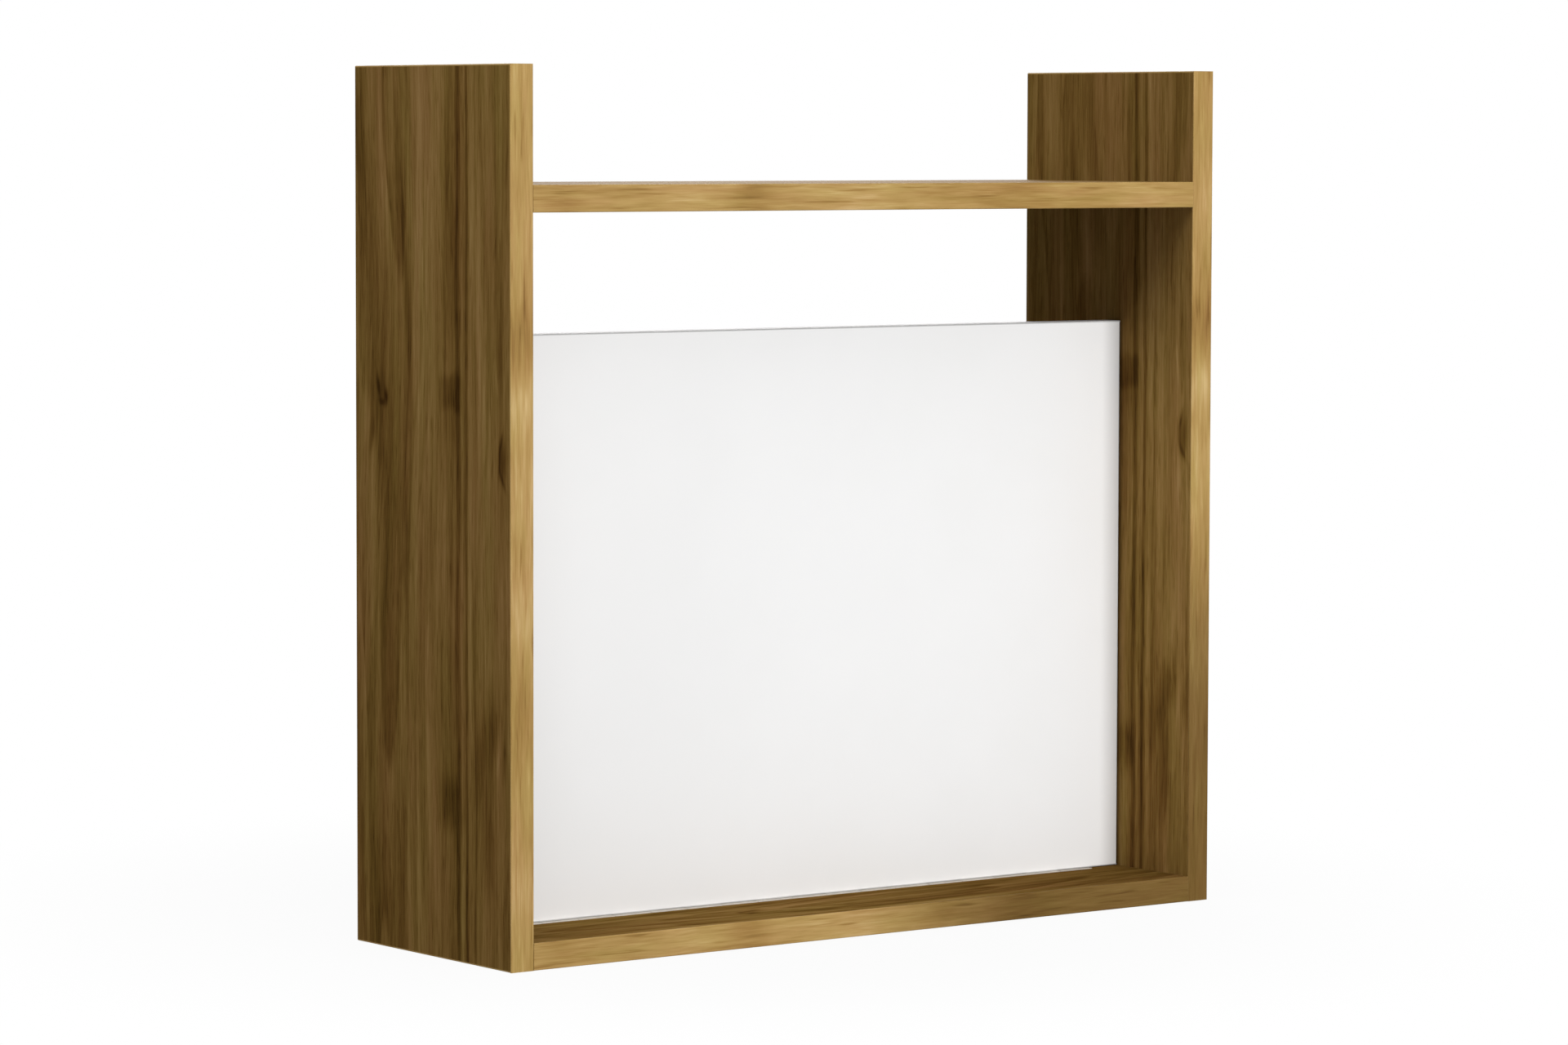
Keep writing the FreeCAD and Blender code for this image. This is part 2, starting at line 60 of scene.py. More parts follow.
# Camera
# It stands to the left of the desk and a little above its shelf, at the photograph's viewing angle.
# A long lens from four metres away keeps the edges of the boards almost parallel.
CAMERA_PLACE = (-2.32868, -3.17879, 0.20570)
CAMERA_YAW = math.radians(36.923)
CAMERA_PITCH = math.radians(-3.9795)
CAMERA_ROLL = math.radians(0.1352)
LENS_MM = 128.56
SENSOR_MM = 36.0


def add_object(name, data):
    """An object at the origin, in the scene."""
    thing = bpy.data.objects.new(name, data)
    bpy.context.collection.objects.link(thing)
    return thing


camera_data = bpy.data.cameras.new("camera")
camera_data.lens = LENS_MM
camera_data.sensor_width = SENSOR_MM
camera_data.sensor_fit = "HORIZONTAL"
camera = add_object("camera", camera_data)
heading = Matrix.Rotation(-CAMERA_YAW, 4, "Z")
tilt = Matrix.Rotation(math.radians(90) + CAMERA_PITCH, 4, "X")
roll = Matrix.Rotation(CAMERA_ROLL, 4, "Z")
camera.matrix_world = Matrix.Translation(CAMERA_PLACE) @ heading @ tilt @ roll
scene = bpy.context.scene
scene.camera = camera
scene.view_settings.view_transform = "Standard"


# Studio
# A white floor that fades into a white surround, with soft lamps at the left, in front and behind.
# The surround shows white to the eye and in reflections, but lights the desk only as a dim, even room would.
# The floor sends up the same soft light everywhere and is clear from below, so the underside is seen too.
WHITE = (1, 1, 1, 1)
ROOM_LIGHT = 0.06
FLOOR_HALF = 8.0
FLOOR_GAP = 0.0002
FLOOR_COLOUR = (0.5, 0.5, 0.5, 1)
FLOOR_GLOW = 0.94
FLOOR_LIGHT = 0.42
FLOOR_FADE_START = 0.35
FLOOR_FADE_END = 0.75
LAMP_AIM = Vector((0.0, -0.1, -0.05))


def add_node(tree, kind, inputs=None, **settings):
    """Adds a node; its inputs, by name or number, are set to a value or linked to another node's socket."""
    node = tree.nodes.new(kind)
    for name, value in settings.items():
        setattr(node, name, value)
    for key, value in (inputs or {}).items():
        if isinstance(value, bpy.types.NodeSocket):
            tree.links.new(value, node.inputs[key])
        else:
            node.inputs[key].default_value = value
    return node


def calc(tree, operation, *values):
    """The result of a Math node."""
    return add_node(tree, "ShaderNodeMath", dict(enumerate(values)), operation=operation).outputs[0]


def shows_white(tree):
    """1 where the eye, a reflection or a glass meets the studio, and 0 where light bounces off it."""
    path = add_node(tree, "ShaderNodeLightPath").outputs
    seen = calc(tree, "MAXIMUM", path["Is Camera Ray"], path["Is Glossy Ray"])
    return calc(tree, "MAXIMUM", seen, path["Is Transmission Ray"])


def step_between(tree, value, start, end, low=0.0, high=1.0):
    """A smooth rise from low to high as a value goes from start to end."""
    limits = {"From Min": start, "From Max": end, "To Min": low, "To Max": high}
    return add_node(tree, "ShaderNodeMapRange", {"Value": value, **limits},
                    interpolation_type="SMOOTHSTEP").outputs[0]


def new_material(name):
    """A material with an empty node tree."""
    material = bpy.data.materials.new(name)
    material.use_nodes = True
    material.node_tree.nodes.clear()
    return material, material.node_tree


def add_lamp(name, azimuth, elevation, distance, width, height, level):
    """A soft lamp aimed at the desk; level is how brightly it lights a white surface that faces it."""
    azimuth = math.radians(azimuth)
    elevation = math.radians(elevation)
    away = Vector((math.sin(azimuth) * math.cos(elevation), -math.cos(azimuth) * math.cos(elevation),
                   math.sin(elevation)))
    lamp_data = bpy.data.lights.new(name, "AREA")
    lamp_data.shape = "RECTANGLE"
    lamp_data.size = width
    lamp_data.size_y = height
    lamp_data.energy = level * (math.pi * distance) ** 2
    lamp = add_object(name, lamp_data)
    lamp.location = LAMP_AIM + distance * away
    lamp.rotation_euler = away.to_track_quat("Z", "Y").to_euler()


world = bpy.data.worlds.new("studio_surround")
world.use_nodes = True
tree = world.node_tree
tree.nodes.clear()
glow = calc(tree, "MULTIPLY_ADD", shows_white(tree), 1 - ROOM_LIGHT, ROOM_LIGHT)
background = add_node(tree, "ShaderNodeBackground", {"Color": WHITE, "Strength": glow})
add_node(tree, "ShaderNodeOutputWorld", {"Surface": background.outputs[0]})
scene.world = world

floor_material, tree = new_material("studio_floor")
place = add_node(tree, "ShaderNodeTexCoord").outputs["Object"]
distance = add_node(tree, "ShaderNodeVectorMath", {0: place}, operation="LENGTH").outputs["Value"]
fade = step_between(tree, distance, FLOOR_FADE_START, FLOOR_FADE_END, FLOOR_GLOW, 1.0)
share = calc(tree, "MULTIPLY", fade, shows_white(tree))
matt = add_node(tree, "ShaderNodeBsdfDiffuse", {"Color": FLOOR_COLOUR})
white = add_node(tree, "ShaderNodeEmission", {"Color": WHITE, "Strength": 1.0})
even = add_node(tree, "ShaderNodeEmission", {"Color": WHITE, "Strength": FLOOR_LIGHT})
bounced = add_node(tree, "ShaderNodeLightPath").outputs["Is Diffuse Ray"]
soft = add_node(tree, "ShaderNodeMixShader", {0: bounced, 1: matt.outputs[0], 2: even.outputs[0]})
lit = add_node(tree, "ShaderNodeMixShader", {0: share, 1: soft.outputs[0], 2: white.outputs[0]})
below = add_node(tree, "ShaderNodeNewGeometry").outputs["Backfacing"]
clear = add_node(tree, "ShaderNodeBsdfTransparent")
shown = add_node(tree, "ShaderNodeMixShader", {0: below, 1: lit.outputs[0], 2: clear.outputs[0]})
add_node(tree, "ShaderNodeOutputMaterial", {"Surface": shown.outputs[0]})

floor_level = cad_box[0][2] - FLOOR_GAP
floor_mesh = bpy.data.meshes.new("studio_floor")
corners = [(x * FLOOR_HALF, y * FLOOR_HALF, floor_level) for x, y in ((-1, -1), (1, -1), (1, 1), (-1, 1))]
floor_mesh.from_pydata(corners, [], [(0, 1, 2, 3)])
floor_mesh.materials.append(floor_material)
add_object("studio_floor", floor_mesh)

add_lamp("key_lamp", azimuth=-37, elevation=50, distance=3.2, width=1.3, height=2.0, level=0.27)
add_lamp("side_lamp", azimuth=-80, elevation=36, distance=3.2, width=1.2, height=1.6, level=0.32)
add_lamp("front_lamp", azimuth=7, elevation=14, distance=3.6, width=1.3, height=1.3, level=0.77)
add_lamp("back_lamp", azimuth=155, elevation=35, distance=3.2, width=2.0, height=2.0, level=0.60)


# Side boards
# Two upright boards of particle board, faced on both sides with one walnut-tone print, its grain upright.
# They are sawn to size and drilled for bolts, dowels and catch screws; the back edge at the wall stays bare.
PRINT_SKIN = 0.0003
WOOD_GLOSS = 0.0
BOARD_RELIEF = 0.12
RELIEF_DEPTH = 0.0002
# Where along a board painted shade darkens its print, from its start to its end, and by how much
NEVER_SHADED = (8.0, 9.0)
BOARD_SHADE_TINT = (0.55, 0.50, 0.42, 1)
PRINT_MEAN = 0.54
PRINT_TONES = {
    0.0: (64, 42, 17),
    0.3: (106, 78, 36),
    0.5: (129, 100, 52),
    0.7: (147, 116, 68),
    1.0: (174, 143, 94),
}
# A half size that reaches past the ends of every board
WHOLE = 10.0
# Each mark of the print: its middle and its half size across and along the grain, and how dark it is;
# some lean, some have a clear edge, and a knot pushes the grain aside
PRINT_MARKS = {
    "back margin": dict(at=(-0.002, 0.0), half=(0.007, WHOLE), dark=0.07),
    # The foot darkens the whole width of each side board towards its lower end
    "foot": dict(at=(-0.090, -0.380), half=(WHOLE, 0.170), dark=0.13),
    "heart": dict(at=(-0.044, -0.030), half=(0.024, 0.200), dark=0.10),
    "heart patch": dict(at=(-0.056, -0.075), half=(0.009, 0.050), dark=0.06),
    "arch": dict(at=(-0.0565, 0.150), half=(0.0042, 0.110), dark=0.20, lean=0.104),
    "arch foot": dict(at=(-0.0610, -0.040), half=(0.0025, 0.060), dark=0.12),
    "arch light": dict(at=(-0.0650, 0.160), half=(0.0055, 0.090), dark=-0.07, lean=0.104),
    "light band": dict(at=(-0.0855, 0.0), half=(0.0190, WHOLE), dark=-0.08, edge=2.0),
    "low light": dict(at=(-0.100, -0.300), half=(0.0160, 0.055), dark=-0.09, edge=1.5),
    "smudge column": dict(at=(-0.1115, 0.160), half=(0.0085, 0.100), dark=0.07, edge=2.0),
    "first line": dict(at=(-0.1235, 0.0), half=(0.0026, WHOLE), dark=0.25, edge=2.0),
    "thin light line": dict(at=(-0.1283, 0.0), half=(0.0010, WHOLE), dark=-0.08),
    "second line": dict(at=(-0.1333, 0.0), half=(0.0017, WHOLE), dark=0.27, edge=1.5),
    "light line": dict(at=(-0.1380, 0.0), half=(0.0022, WHOLE), dark=-0.11),
    "third line": dict(at=(-0.1438, 0.0), half=(0.0010, WHOLE), dark=0.14),
    "front band": dict(at=(-0.152, 0.0), half=(0.013, WHOLE), dark=-0.06),
    "knot halo": dict(at=(-0.0325, 0.033), half=(0.0100, 0.015), dark=0.09),
    "knot stroke": dict(at=(-0.0282, 0.0355), half=(0.0019, 0.0070), dark=0.38, push=0.4, lean=0.16),
    "knot core": dict(at=(-0.0375, 0.0305), half=(0.0024, 0.0048), dark=0.40, push=0.6),
    "knot foot": dict(at=(-0.0325, 0.0255), half=(0.0042, 0.0024), dark=0.22),
    "knot tail": dict(at=(-0.0200, 0.004), half=(0.0034, 0.016), dark=0.22, push=0.3, lean=-0.26),
    "upper smudge": dict(at=(-0.1155, 0.0355), half=(0.0125, 0.0125), dark=0.22, edge=2.5),
    "smudge fade": dict(at=(-0.1140, 0.018), half=(0.0090, 0.016), dark=0.12),
    "front eye": dict(at=(-0.1758, -0.007), half=(0.0042, 0.0150), dark=0.30, edge=1.5),
    "eye brow": dict(at=(-0.1738, 0.004), half=(0.0014, 0.0075), dark=0.26, push=0.4, lean=-0.26),
    "eye side": dict(at=(-0.1722, -0.008), half=(0.0013, 0.0090), dark=0.30, push=0.4),
    "eye foot": dict(at=(-0.1758, -0.0195), half=(0.0018, 0.0065), dark=0.28, lean=0.50),
    "front light": dict(at=(-0.1692, 0.042), half=(0.0013, 0.0130), dark=-0.17, lean=0.14),
    "front streak": dict(at=(-0.1738, 0.060), half=(0.0034, 0.0240), dark=0.17, push=0.3),
    "lower smudge": dict(at=(-0.1130, -0.235), half=(0.0125, 0.0170), dark=0.23, edge=1.5),
    "lower cloud": dict(at=(-0.1590, -0.192), half=(0.0110, 0.0310), dark=0.25, lean=-0.36),
    "cloud foot": dict(at=(-0.1580, -0.250), half=(0.0066, 0.0360), dark=0.19, edge=1.5),
    "lower light": dict(at=(-0.1708, -0.203), half=(0.0018, 0.0150), dark=-0.16, lean=-0.10),
    "lower sliver": dict(at=(-0.1782, -0.197), half=(0.0022, 0.0130), dark=0.22, push=0.3),
}
# Noise in the print, in waves per metre across the grain, along it and through the board
PRINT_WAVES = {
    "mark ends": (90, 30, 9),
    "mark sides": (26, 9, 9),
    "flow": (9, 2.4, 3),
    "patches": (60, 9, 10),
    "rings": (13, 1.5, 5),
    "fibre": (1100, 40, 300),
    "pores": (720, 42, 200),
    "warmth": (60, 6, 40),
}
# The waves of each layer of grain, and how far it moves the tone
GRAIN_LAYERS = (
    ((22, 2.4, 15), 0.30),
    ((90, 3.4, 30), 0.66),
    ((300, 8, 80), 0.54),
    ((2400, 55, 600), 0.34),
)
MARK_END_SWAY = 0.010
MARK_SIDE_SWAY = 0.004
HEART_MIDDLE = -0.030
HEART_HALF = 0.045
HEART_LEAN = 0.022
STRAIGHT_LEAN = 0.008
HEART_RINGS = 11.0
HEART_FLAMES = 0.18
STRAIGHT_FLAMES = 0.08
FLAME_CREST = 0.85
FIBRE_TONE = 0.40
PORE_RISE = (0.58, 0.72)
PORE_TONE = -0.13
PRINT_WARMTH = 0.036
NEUTRAL_HUE = 0.5
PRINT_ROUGHNESS = 0.6
ROUGHNESS_RANGE = 0.2
CHIP_TONES = {
    0.0: (152, 122, 84),
    0.3: (171, 142, 103),
    0.7: (185, 158, 119),
    1.0: (199, 175, 137),
}
CHIP_WAVES = (340, 340, 1100)
DUST_WAVES = (1800, 1800, 1800)
DUST_TONE = 0.8


def srgb(red, green, blue):
    """A colour as the eye sees it on a screen, 0 to 255, in the linear values that a shader takes."""
    def linear(value):
        share = value / 255
        return share / 12.92 if share <= 0.04045 else ((share + 0.055) / 1.055) ** 2.4
    return linear(red), linear(green), linear(blue), 1


def new_group(name, inputs, outputs, kind="ShaderNodeTree"):
    """A node group and its inner sockets; each socket is given as name: kind."""
    group = bpy.data.node_groups.new(name, kind)
    for side, sockets in (("INPUT", inputs), ("OUTPUT", outputs)):
        for socket_name, socket_kind in sockets.items():
            group.interface.new_socket(socket_name, in_out=side, socket_type="NodeSocket" + socket_kind)
    return group, group.nodes.new("NodeGroupInput").outputs, group.nodes.new("NodeGroupOutput").inputs


def use_group(tree, group, inputs):
    """A node group placed in a tree; its outputs."""
    kind = group.bl_idname.replace("Tree", "Group")
    return add_node(tree, kind, inputs, node_tree=group).outputs


def split(tree, place):
    """The X, Y and Z of a place."""
    return add_node(tree, "ShaderNodeSeparateXYZ", {0: place}).outputs


def stretch(tree, place, factors):
    """A place multiplied by its own factor along each axis."""
    return add_node(tree, "ShaderNodeVectorMath", {0: place, 1: factors}, operation="MULTIPLY").outputs[0]


def noise_at(tree, place, waves, detail=2.0, roughness=0.5):
    """Noise from 0 to 1, with its own number of waves per metre along each axis."""
    inputs = {"Vector": stretch(tree, place, waves), "Scale": 1.0, "Detail": detail, "Roughness": roughness}
    return add_node(tree, "ShaderNodeTexNoise", inputs).outputs[0]


def sway(tree, noise, amount, value):
    """A value, moved up or down by noise."""
    return calc(tree, "MULTIPLY_ADD", calc(tree, "SUBTRACT", noise, 0.5), amount, value)


def bell(tree, value, middle, half_width, edge=1.0):
    """A soft hump, 1 at its middle; an edge above 1 makes it flatter on top and steeper at its sides."""
    off = calc(tree, "DIVIDE", calc(tree, "SUBTRACT", value, middle), half_width)
    fall = calc(tree, "POWER", calc(tree, "MULTIPLY", off, off), edge)
    return calc(tree, "EXPONENT", calc(tree, "MULTIPLY", fall, -1))


def tone_ramp(tree, tone, colours):
    """The colour for a tone from 0 to 1."""
    ramp = add_node(tree, "ShaderNodeValToRGB", {0: tone})
    stops = ramp.color_ramp.elements
    while len(stops) < len(colours):
        stops.new(0.5)
    for stop, (position, colour) in zip(stops, colours.items()):
        stop.position = position
        stop.color = srgb(*colour)
    return ramp.outputs[0]


def mix_colours(tree, share, first, second, mode="MIX"):
    """Two colours mixed; a share of 1 gives the second one, or the two multiplied."""
    # The node has like-named sockets for each kind of value, so its colour sockets go by number
    return add_node(tree, "ShaderNodeMix", {0: share, 6: first, 7: second},
                    data_type="RGBA", blend_type=mode).outputs[2]


def warmed(tree, colour, place, waves, amount):
    """A colour that drifts a little to either side of its hue."""
    hue = sway(tree, noise_at(tree, place, waves), amount, NEUTRAL_HUE)
    return add_node(tree, "ShaderNodeHueSaturation", {"Hue": hue, "Color": colour}).outputs[0]


print_mark, given, result = new_group(
    "print_mark",
    {"Across": "Float", "Along": "Float", "Middle Across": "Float", "Middle Along": "Float",
     "Half Width": "Float", "Half Length": "Float", "Lean": "Float", "Edge": "Float"},
    {"Strength": "Float", "Push": "Float"})
ahead = calc(print_mark, "SUBTRACT", given["Along"], given["Middle Along"])
leaned = calc(print_mark, "MULTIPLY_ADD", ahead, given["Lean"], given["Middle Across"])
spot = calc(print_mark, "MULTIPLY",
            bell(print_mark, given["Across"], leaned, given["Half Width"], given["Edge"]),
            bell(print_mark, given["Along"], given["Middle Along"], given["Half Length"], given["Edge"]))
aside = calc(print_mark, "SUBTRACT", leaned, given["Across"])
print_mark.links.new(spot, result["Strength"])
print_mark.links.new(calc(print_mark, "MULTIPLY", aside, spot), result["Push"])

walnut_print, given, result = new_group("walnut_print", {"Place": "Vector"},
                                        {"Color": "Color", "Height": "Float", "Roughness": "Float"})
tree = walnut_print
place = given["Place"]
parts = split(tree, place)
along = sway(tree, noise_at(tree, place, PRINT_WAVES["mark ends"]), MARK_END_SWAY, parts["Y"])
across = sway(tree, noise_at(tree, place, PRINT_WAVES["mark sides"], detail=1.0), MARK_SIDE_SWAY, parts["X"])
in_heart = bell(tree, across, HEART_MIDDLE, HEART_HALF)
lean = calc(tree, "MULTIPLY_ADD", in_heart, HEART_LEAN, STRAIGHT_LEAN)
flow = sway(tree, noise_at(tree, place, PRINT_WAVES["flow"], detail=1.0), lean, across)
shade = 0.0
for mark in PRINT_MARKS.values():
    drawn = use_group(tree, print_mark, {
        "Across": across, "Along": along, "Middle Across": mark["at"][0], "Middle Along": mark["at"][1],
        "Half Width": mark["half"][0], "Half Length": mark["half"][1], "Lean": mark.get("lean", 0.0),
        "Edge": mark.get("edge", 1.0)})
    shade = calc(tree, "MULTIPLY_ADD", drawn["Strength"], mark["dark"], shade)
    if "push" in mark:
        flow = calc(tree, "MULTIPLY_ADD", drawn["Push"], mark["push"], flow)
grain = add_node(tree, "ShaderNodeCombineXYZ", {"X": flow, "Y": parts["Y"], "Z": parts["Z"]}).outputs[0]
patchy = sway(tree, noise_at(tree, place, PRINT_WAVES["patches"]), 1.0, 1.0)
tone = calc(tree, "SUBTRACT", PRINT_MEAN, calc(tree, "MULTIPLY", shade, patchy))
rings = calc(tree, "MULTIPLY", noise_at(tree, place, PRINT_WAVES["rings"], detail=1.5), HEART_RINGS)
ring = calc(tree, "FRACT", rings)
flames = calc(tree, "MULTIPLY", ring, step_between(tree, ring, 1.0, FLAME_CREST))
tone = sway(tree, flames, calc(tree, "MULTIPLY_ADD", in_heart, HEART_FLAMES, STRAIGHT_FLAMES), tone)
for waves, amount in GRAIN_LAYERS:
    tone = sway(tree, noise_at(tree, grain, waves, detail=3.0, roughness=0.6), amount, tone)
fibre = noise_at(tree, grain, PRINT_WAVES["fibre"], roughness=0.6)
tone = sway(tree, fibre, FIBRE_TONE, tone)
pores = step_between(tree, noise_at(tree, grain, PRINT_WAVES["pores"], detail=1.0), *PORE_RISE)
tone = calc(tree, "MULTIPLY_ADD", pores, PORE_TONE, tone)
colour = warmed(tree, tone_ramp(tree, tone, PRINT_TONES), grain, PRINT_WAVES["warmth"], PRINT_WARMTH)
tree.links.new(colour, result["Color"])
tree.links.new(calc(tree, "SUBTRACT", fibre, pores), result["Height"])
tree.links.new(sway(tree, fibre, ROUGHNESS_RANGE, PRINT_ROUGHNESS), result["Roughness"])

bare_particle_board, given, result = new_group("bare_particle_board", {"Place": "Vector"},
                                               {"Color": "Color", "Height": "Float"})
tree = bare_particle_board
chips = add_node(tree, "ShaderNodeTexVoronoi", {"Vector": stretch(tree, given["Place"], CHIP_WAVES),
                                                "Scale": 1.0})
chip_tone = add_node(tree, "ShaderNodeSeparateColor", {0: chips.outputs["Color"]}).outputs[0]
chip_tone = sway(tree, noise_at(tree, given["Place"], DUST_WAVES), DUST_TONE, chip_tone)
tree.links.new(tone_ramp(tree, chip_tone, CHIP_TONES), result["Color"])
tree.links.new(chip_tone, result["Height"])


def object_place(tree, order, shift=(0, 0, 0)):
    """Object coordinates in metres, with the axes in the order across, along, through, moved by a shift."""
    parts = split(tree, add_node(tree, "ShaderNodeTexCoord").outputs["Object"])
    turned = add_node(tree, "ShaderNodeCombineXYZ", {name: parts[axis] for name, axis in zip("XYZ", order)})
    moved = add_node(tree, "ShaderNodeVectorMath", {0: turned.outputs[0], 1: shift}, operation="ADD")
    return moved.outputs[0]


def finish_shader(tree, inputs, height, bump, depth=RELIEF_DEPTH):
    """A Principled shader with a fine relief, put out as the surface."""
    relief = add_node(tree, "ShaderNodeBump", {"Height": height, "Strength": bump, "Distance": depth})
    shader = add_node(tree, "ShaderNodeBsdfPrincipled", {"Normal": relief.outputs[0], **inputs})
    add_node(tree, "ShaderNodeOutputMaterial", {"Surface": shader.outputs[0]})


def board_material(node, order, shift, face_finish, gloss, painted_shade=NEVER_SHADED):
    """A finished skin on both faces of a board, and bare particle board wherever it is sawn or drilled."""
    material, tree = new_material("finish_" + node)
    low, high = (corner["XYZ".index(order[2])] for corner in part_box(node))
    place = object_place(tree, order)
    parts = split(tree, place)
    off_middle = calc(tree, "ABSOLUTE", calc(tree, "SUBTRACT", parts["Z"], (low + high) / 2))
    skin = calc(tree, "GREATER_THAN", off_middle, (high - low) / 2 - PRINT_SKIN)
    bare = calc(tree, "SUBTRACT", 1.0, skin)
    face = use_group(tree, face_finish, {"Place": object_place(tree, order, shift)})
    core = use_group(tree, bare_particle_board, {"Place": place})
    # Painted shade: the print is darkened by a tint between the given start and end along the board
    painted_shading = step_between(tree, parts["Y"], *painted_shade)
    face_colour = mix_colours(tree, painted_shading, face["Color"], BOARD_SHADE_TINT, "MULTIPLY")
    face_height = calc(tree, "MULTIPLY", face["Height"], skin)
    core_height = calc(tree, "MULTIPLY", core["Height"], bare)
    inputs = {
        "Base Color": mix_colours(tree, skin, core["Color"], face_colour),
        "Roughness": calc(tree, "MAXIMUM", face["Roughness"], bare),
        "Specular IOR Level": gloss,
    }
    finish_shader(tree, inputs, calc(tree, "ADD", face_height, core_height), BOARD_RELIEF)
    return material


def dress(node, material):
    """Gives a CAD piece its finish."""
    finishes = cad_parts[node].data.materials
    finishes.clear()
    finishes.append(material)


for side in ("left", "right"):
    node = side + "_side_board"
    dress(node, board_material(node, "YZX", (0, 0, 0), walnut_print, WOOD_GLOSS))


# Edging of the side boards
# Thin strips of light oak-tone print, glued on in front, on top and below, with their long corners eased.
# The strip in front of the right side board darkens towards its foot: painted shade where the light falls
# off.
EDGING_TONES = {
    0.0: (122, 90, 42),
    0.35: (157, 124, 68),
    0.6: (177, 145, 88),
    1.0: (210, 182, 130),
}
MID_TONE = 0.5
# Where the print is blotched across the strips: its middle along the strip, its half length, how dark it is
UPPER_BLOTCHES = (
    (0.150, 0.025, -0.06),
    (0.072, 0.020, 0.22),
    (0.030, 0.016, -0.20),
    (0.0, 0.010, 0.06),
    (-0.025, 0.040, -0.16),
)
LOWER_BLOTCHES = (
    (-0.105, 0.026, -0.16),
    (-0.170, 0.030, 0.16),
    (-0.285, 0.024, -0.10),
)
BLOTCH_SWAY = 0.02
# The painted shade that darkens a strip's print: its tint, the sway of its start, and its span on the right
# front strip
PAINTED_SHADE_TINT = (0.42, 0.38, 0.29, 1)
PAINTED_SHADE_SWAY = 0.07
RIGHT_PAINTED_SHADE = (-0.04, -0.23)
# Noise in the edging, in waves per metre across the strip, along it and through it
EDGING_WAVES = {
    "blotches": (90, 26, 1),
    "painted_shading": (120, 14, 60),
    "fibre": (900, 40, 1),
    "streaks": (330, 17, 1),
    "warmth": (110, 16, 1),
}
# The waves of each layer of grain, its detail and roughness, and how far it moves the tone
EDGING_LAYERS = (
    ((26, 13, 1), 2.0, 0.5, 0.28),
    ((170, 14, 1), 3.0, 0.6, 0.55),
    ((420, 22, 1), 2.0, 0.6, 0.50),
)
# The grain runs straight through a strip, so it doesn't change with the depth
FACE_ONLY = (1, 1, 0)
EDGING_FIBRE_TONE = 0.35
STREAK_RISE = (0.58, 0.74)
STREAK_TONE = -0.30
EDGING_WARMTH = 0.03
EDGING_ROUGHNESS = 0.55
EDGING_GLOSS = 0.1
EDGING_RELIEF = 0.1
# How far a normal turns at a corner, and where the corner is rubbed
CORNER_TURN = (0.99, 0.75)
RUB_WAVES = (120, 120, 120)
RUB_RISE = (0.3, 0.7)
EDGING_CORNER = 0.0008
RUBBED_EDGING = (206, 180, 132)
RUBBED_SHARE = 0.18

worn_edges, given, result = new_group("worn_edges", {"Radius": "Float", "Place": "Vector"}, {"Mask": "Float"})
tree = worn_edges
rounded = add_node(tree, "ShaderNodeBevel", {"Radius": given["Radius"]}, samples=4).outputs[0]
facing = add_node(tree, "ShaderNodeNewGeometry").outputs["Normal"]
same = add_node(tree, "ShaderNodeVectorMath", {0: rounded, 1: facing}, operation="DOT_PRODUCT")
edge = step_between(tree, same.outputs["Value"], *CORNER_TURN)
rubbed = step_between(tree, noise_at(tree, given["Place"], RUB_WAVES), *RUB_RISE)
tree.links.new(calc(tree, "MULTIPLY", edge, rubbed), result["Mask"])

edging_print_and_shade, given, result = new_group(
    "edging_print_and_shade", {"Place": "Vector", "Blotch": "Float", "Painted Shade Start": "Float", "Painted Shade End": "Float"},
    {"Color": "Color", "Height": "Float", "Roughness": "Float"})
tree = edging_print_and_shade
place = given["Place"]
# Painted shade: the print darkens between the given start and end along the strip, its start made ragged by
# noise
ragged = noise_at(tree, place, EDGING_WAVES["painted_shading"], detail=3.0, roughness=0.6)
along = sway(tree, ragged, PAINTED_SHADE_SWAY, split(tree, place)["Y"])
painted_shade = step_between(tree, along, given["Painted Shade Start"], given["Painted Shade End"])
face = stretch(tree, place, FACE_ONLY)
tone = calc(tree, "SUBTRACT", MID_TONE, given["Blotch"])
for waves, detail, roughness, amount in EDGING_LAYERS:
    tone = sway(tree, noise_at(tree, face, waves, detail, roughness), amount, tone)
fibre = noise_at(tree, face, EDGING_WAVES["fibre"], roughness=0.6)
tone = sway(tree, fibre, EDGING_FIBRE_TONE, tone)
streaks = step_between(tree, noise_at(tree, face, EDGING_WAVES["streaks"]), *STREAK_RISE)
tone = calc(tree, "MULTIPLY_ADD", streaks, STREAK_TONE, tone)
light = warmed(tree, tone_ramp(tree, tone, EDGING_TONES), face, EDGING_WAVES["warmth"], EDGING_WARMTH)
tree.links.new(mix_colours(tree, painted_shade, light, PAINTED_SHADE_TINT, "MULTIPLY"), result["Color"])
tree.links.new(fibre, result["Height"])
tree.links.new(sway(tree, fibre, ROUGHNESS_RANGE, EDGING_ROUGHNESS), result["Roughness"])


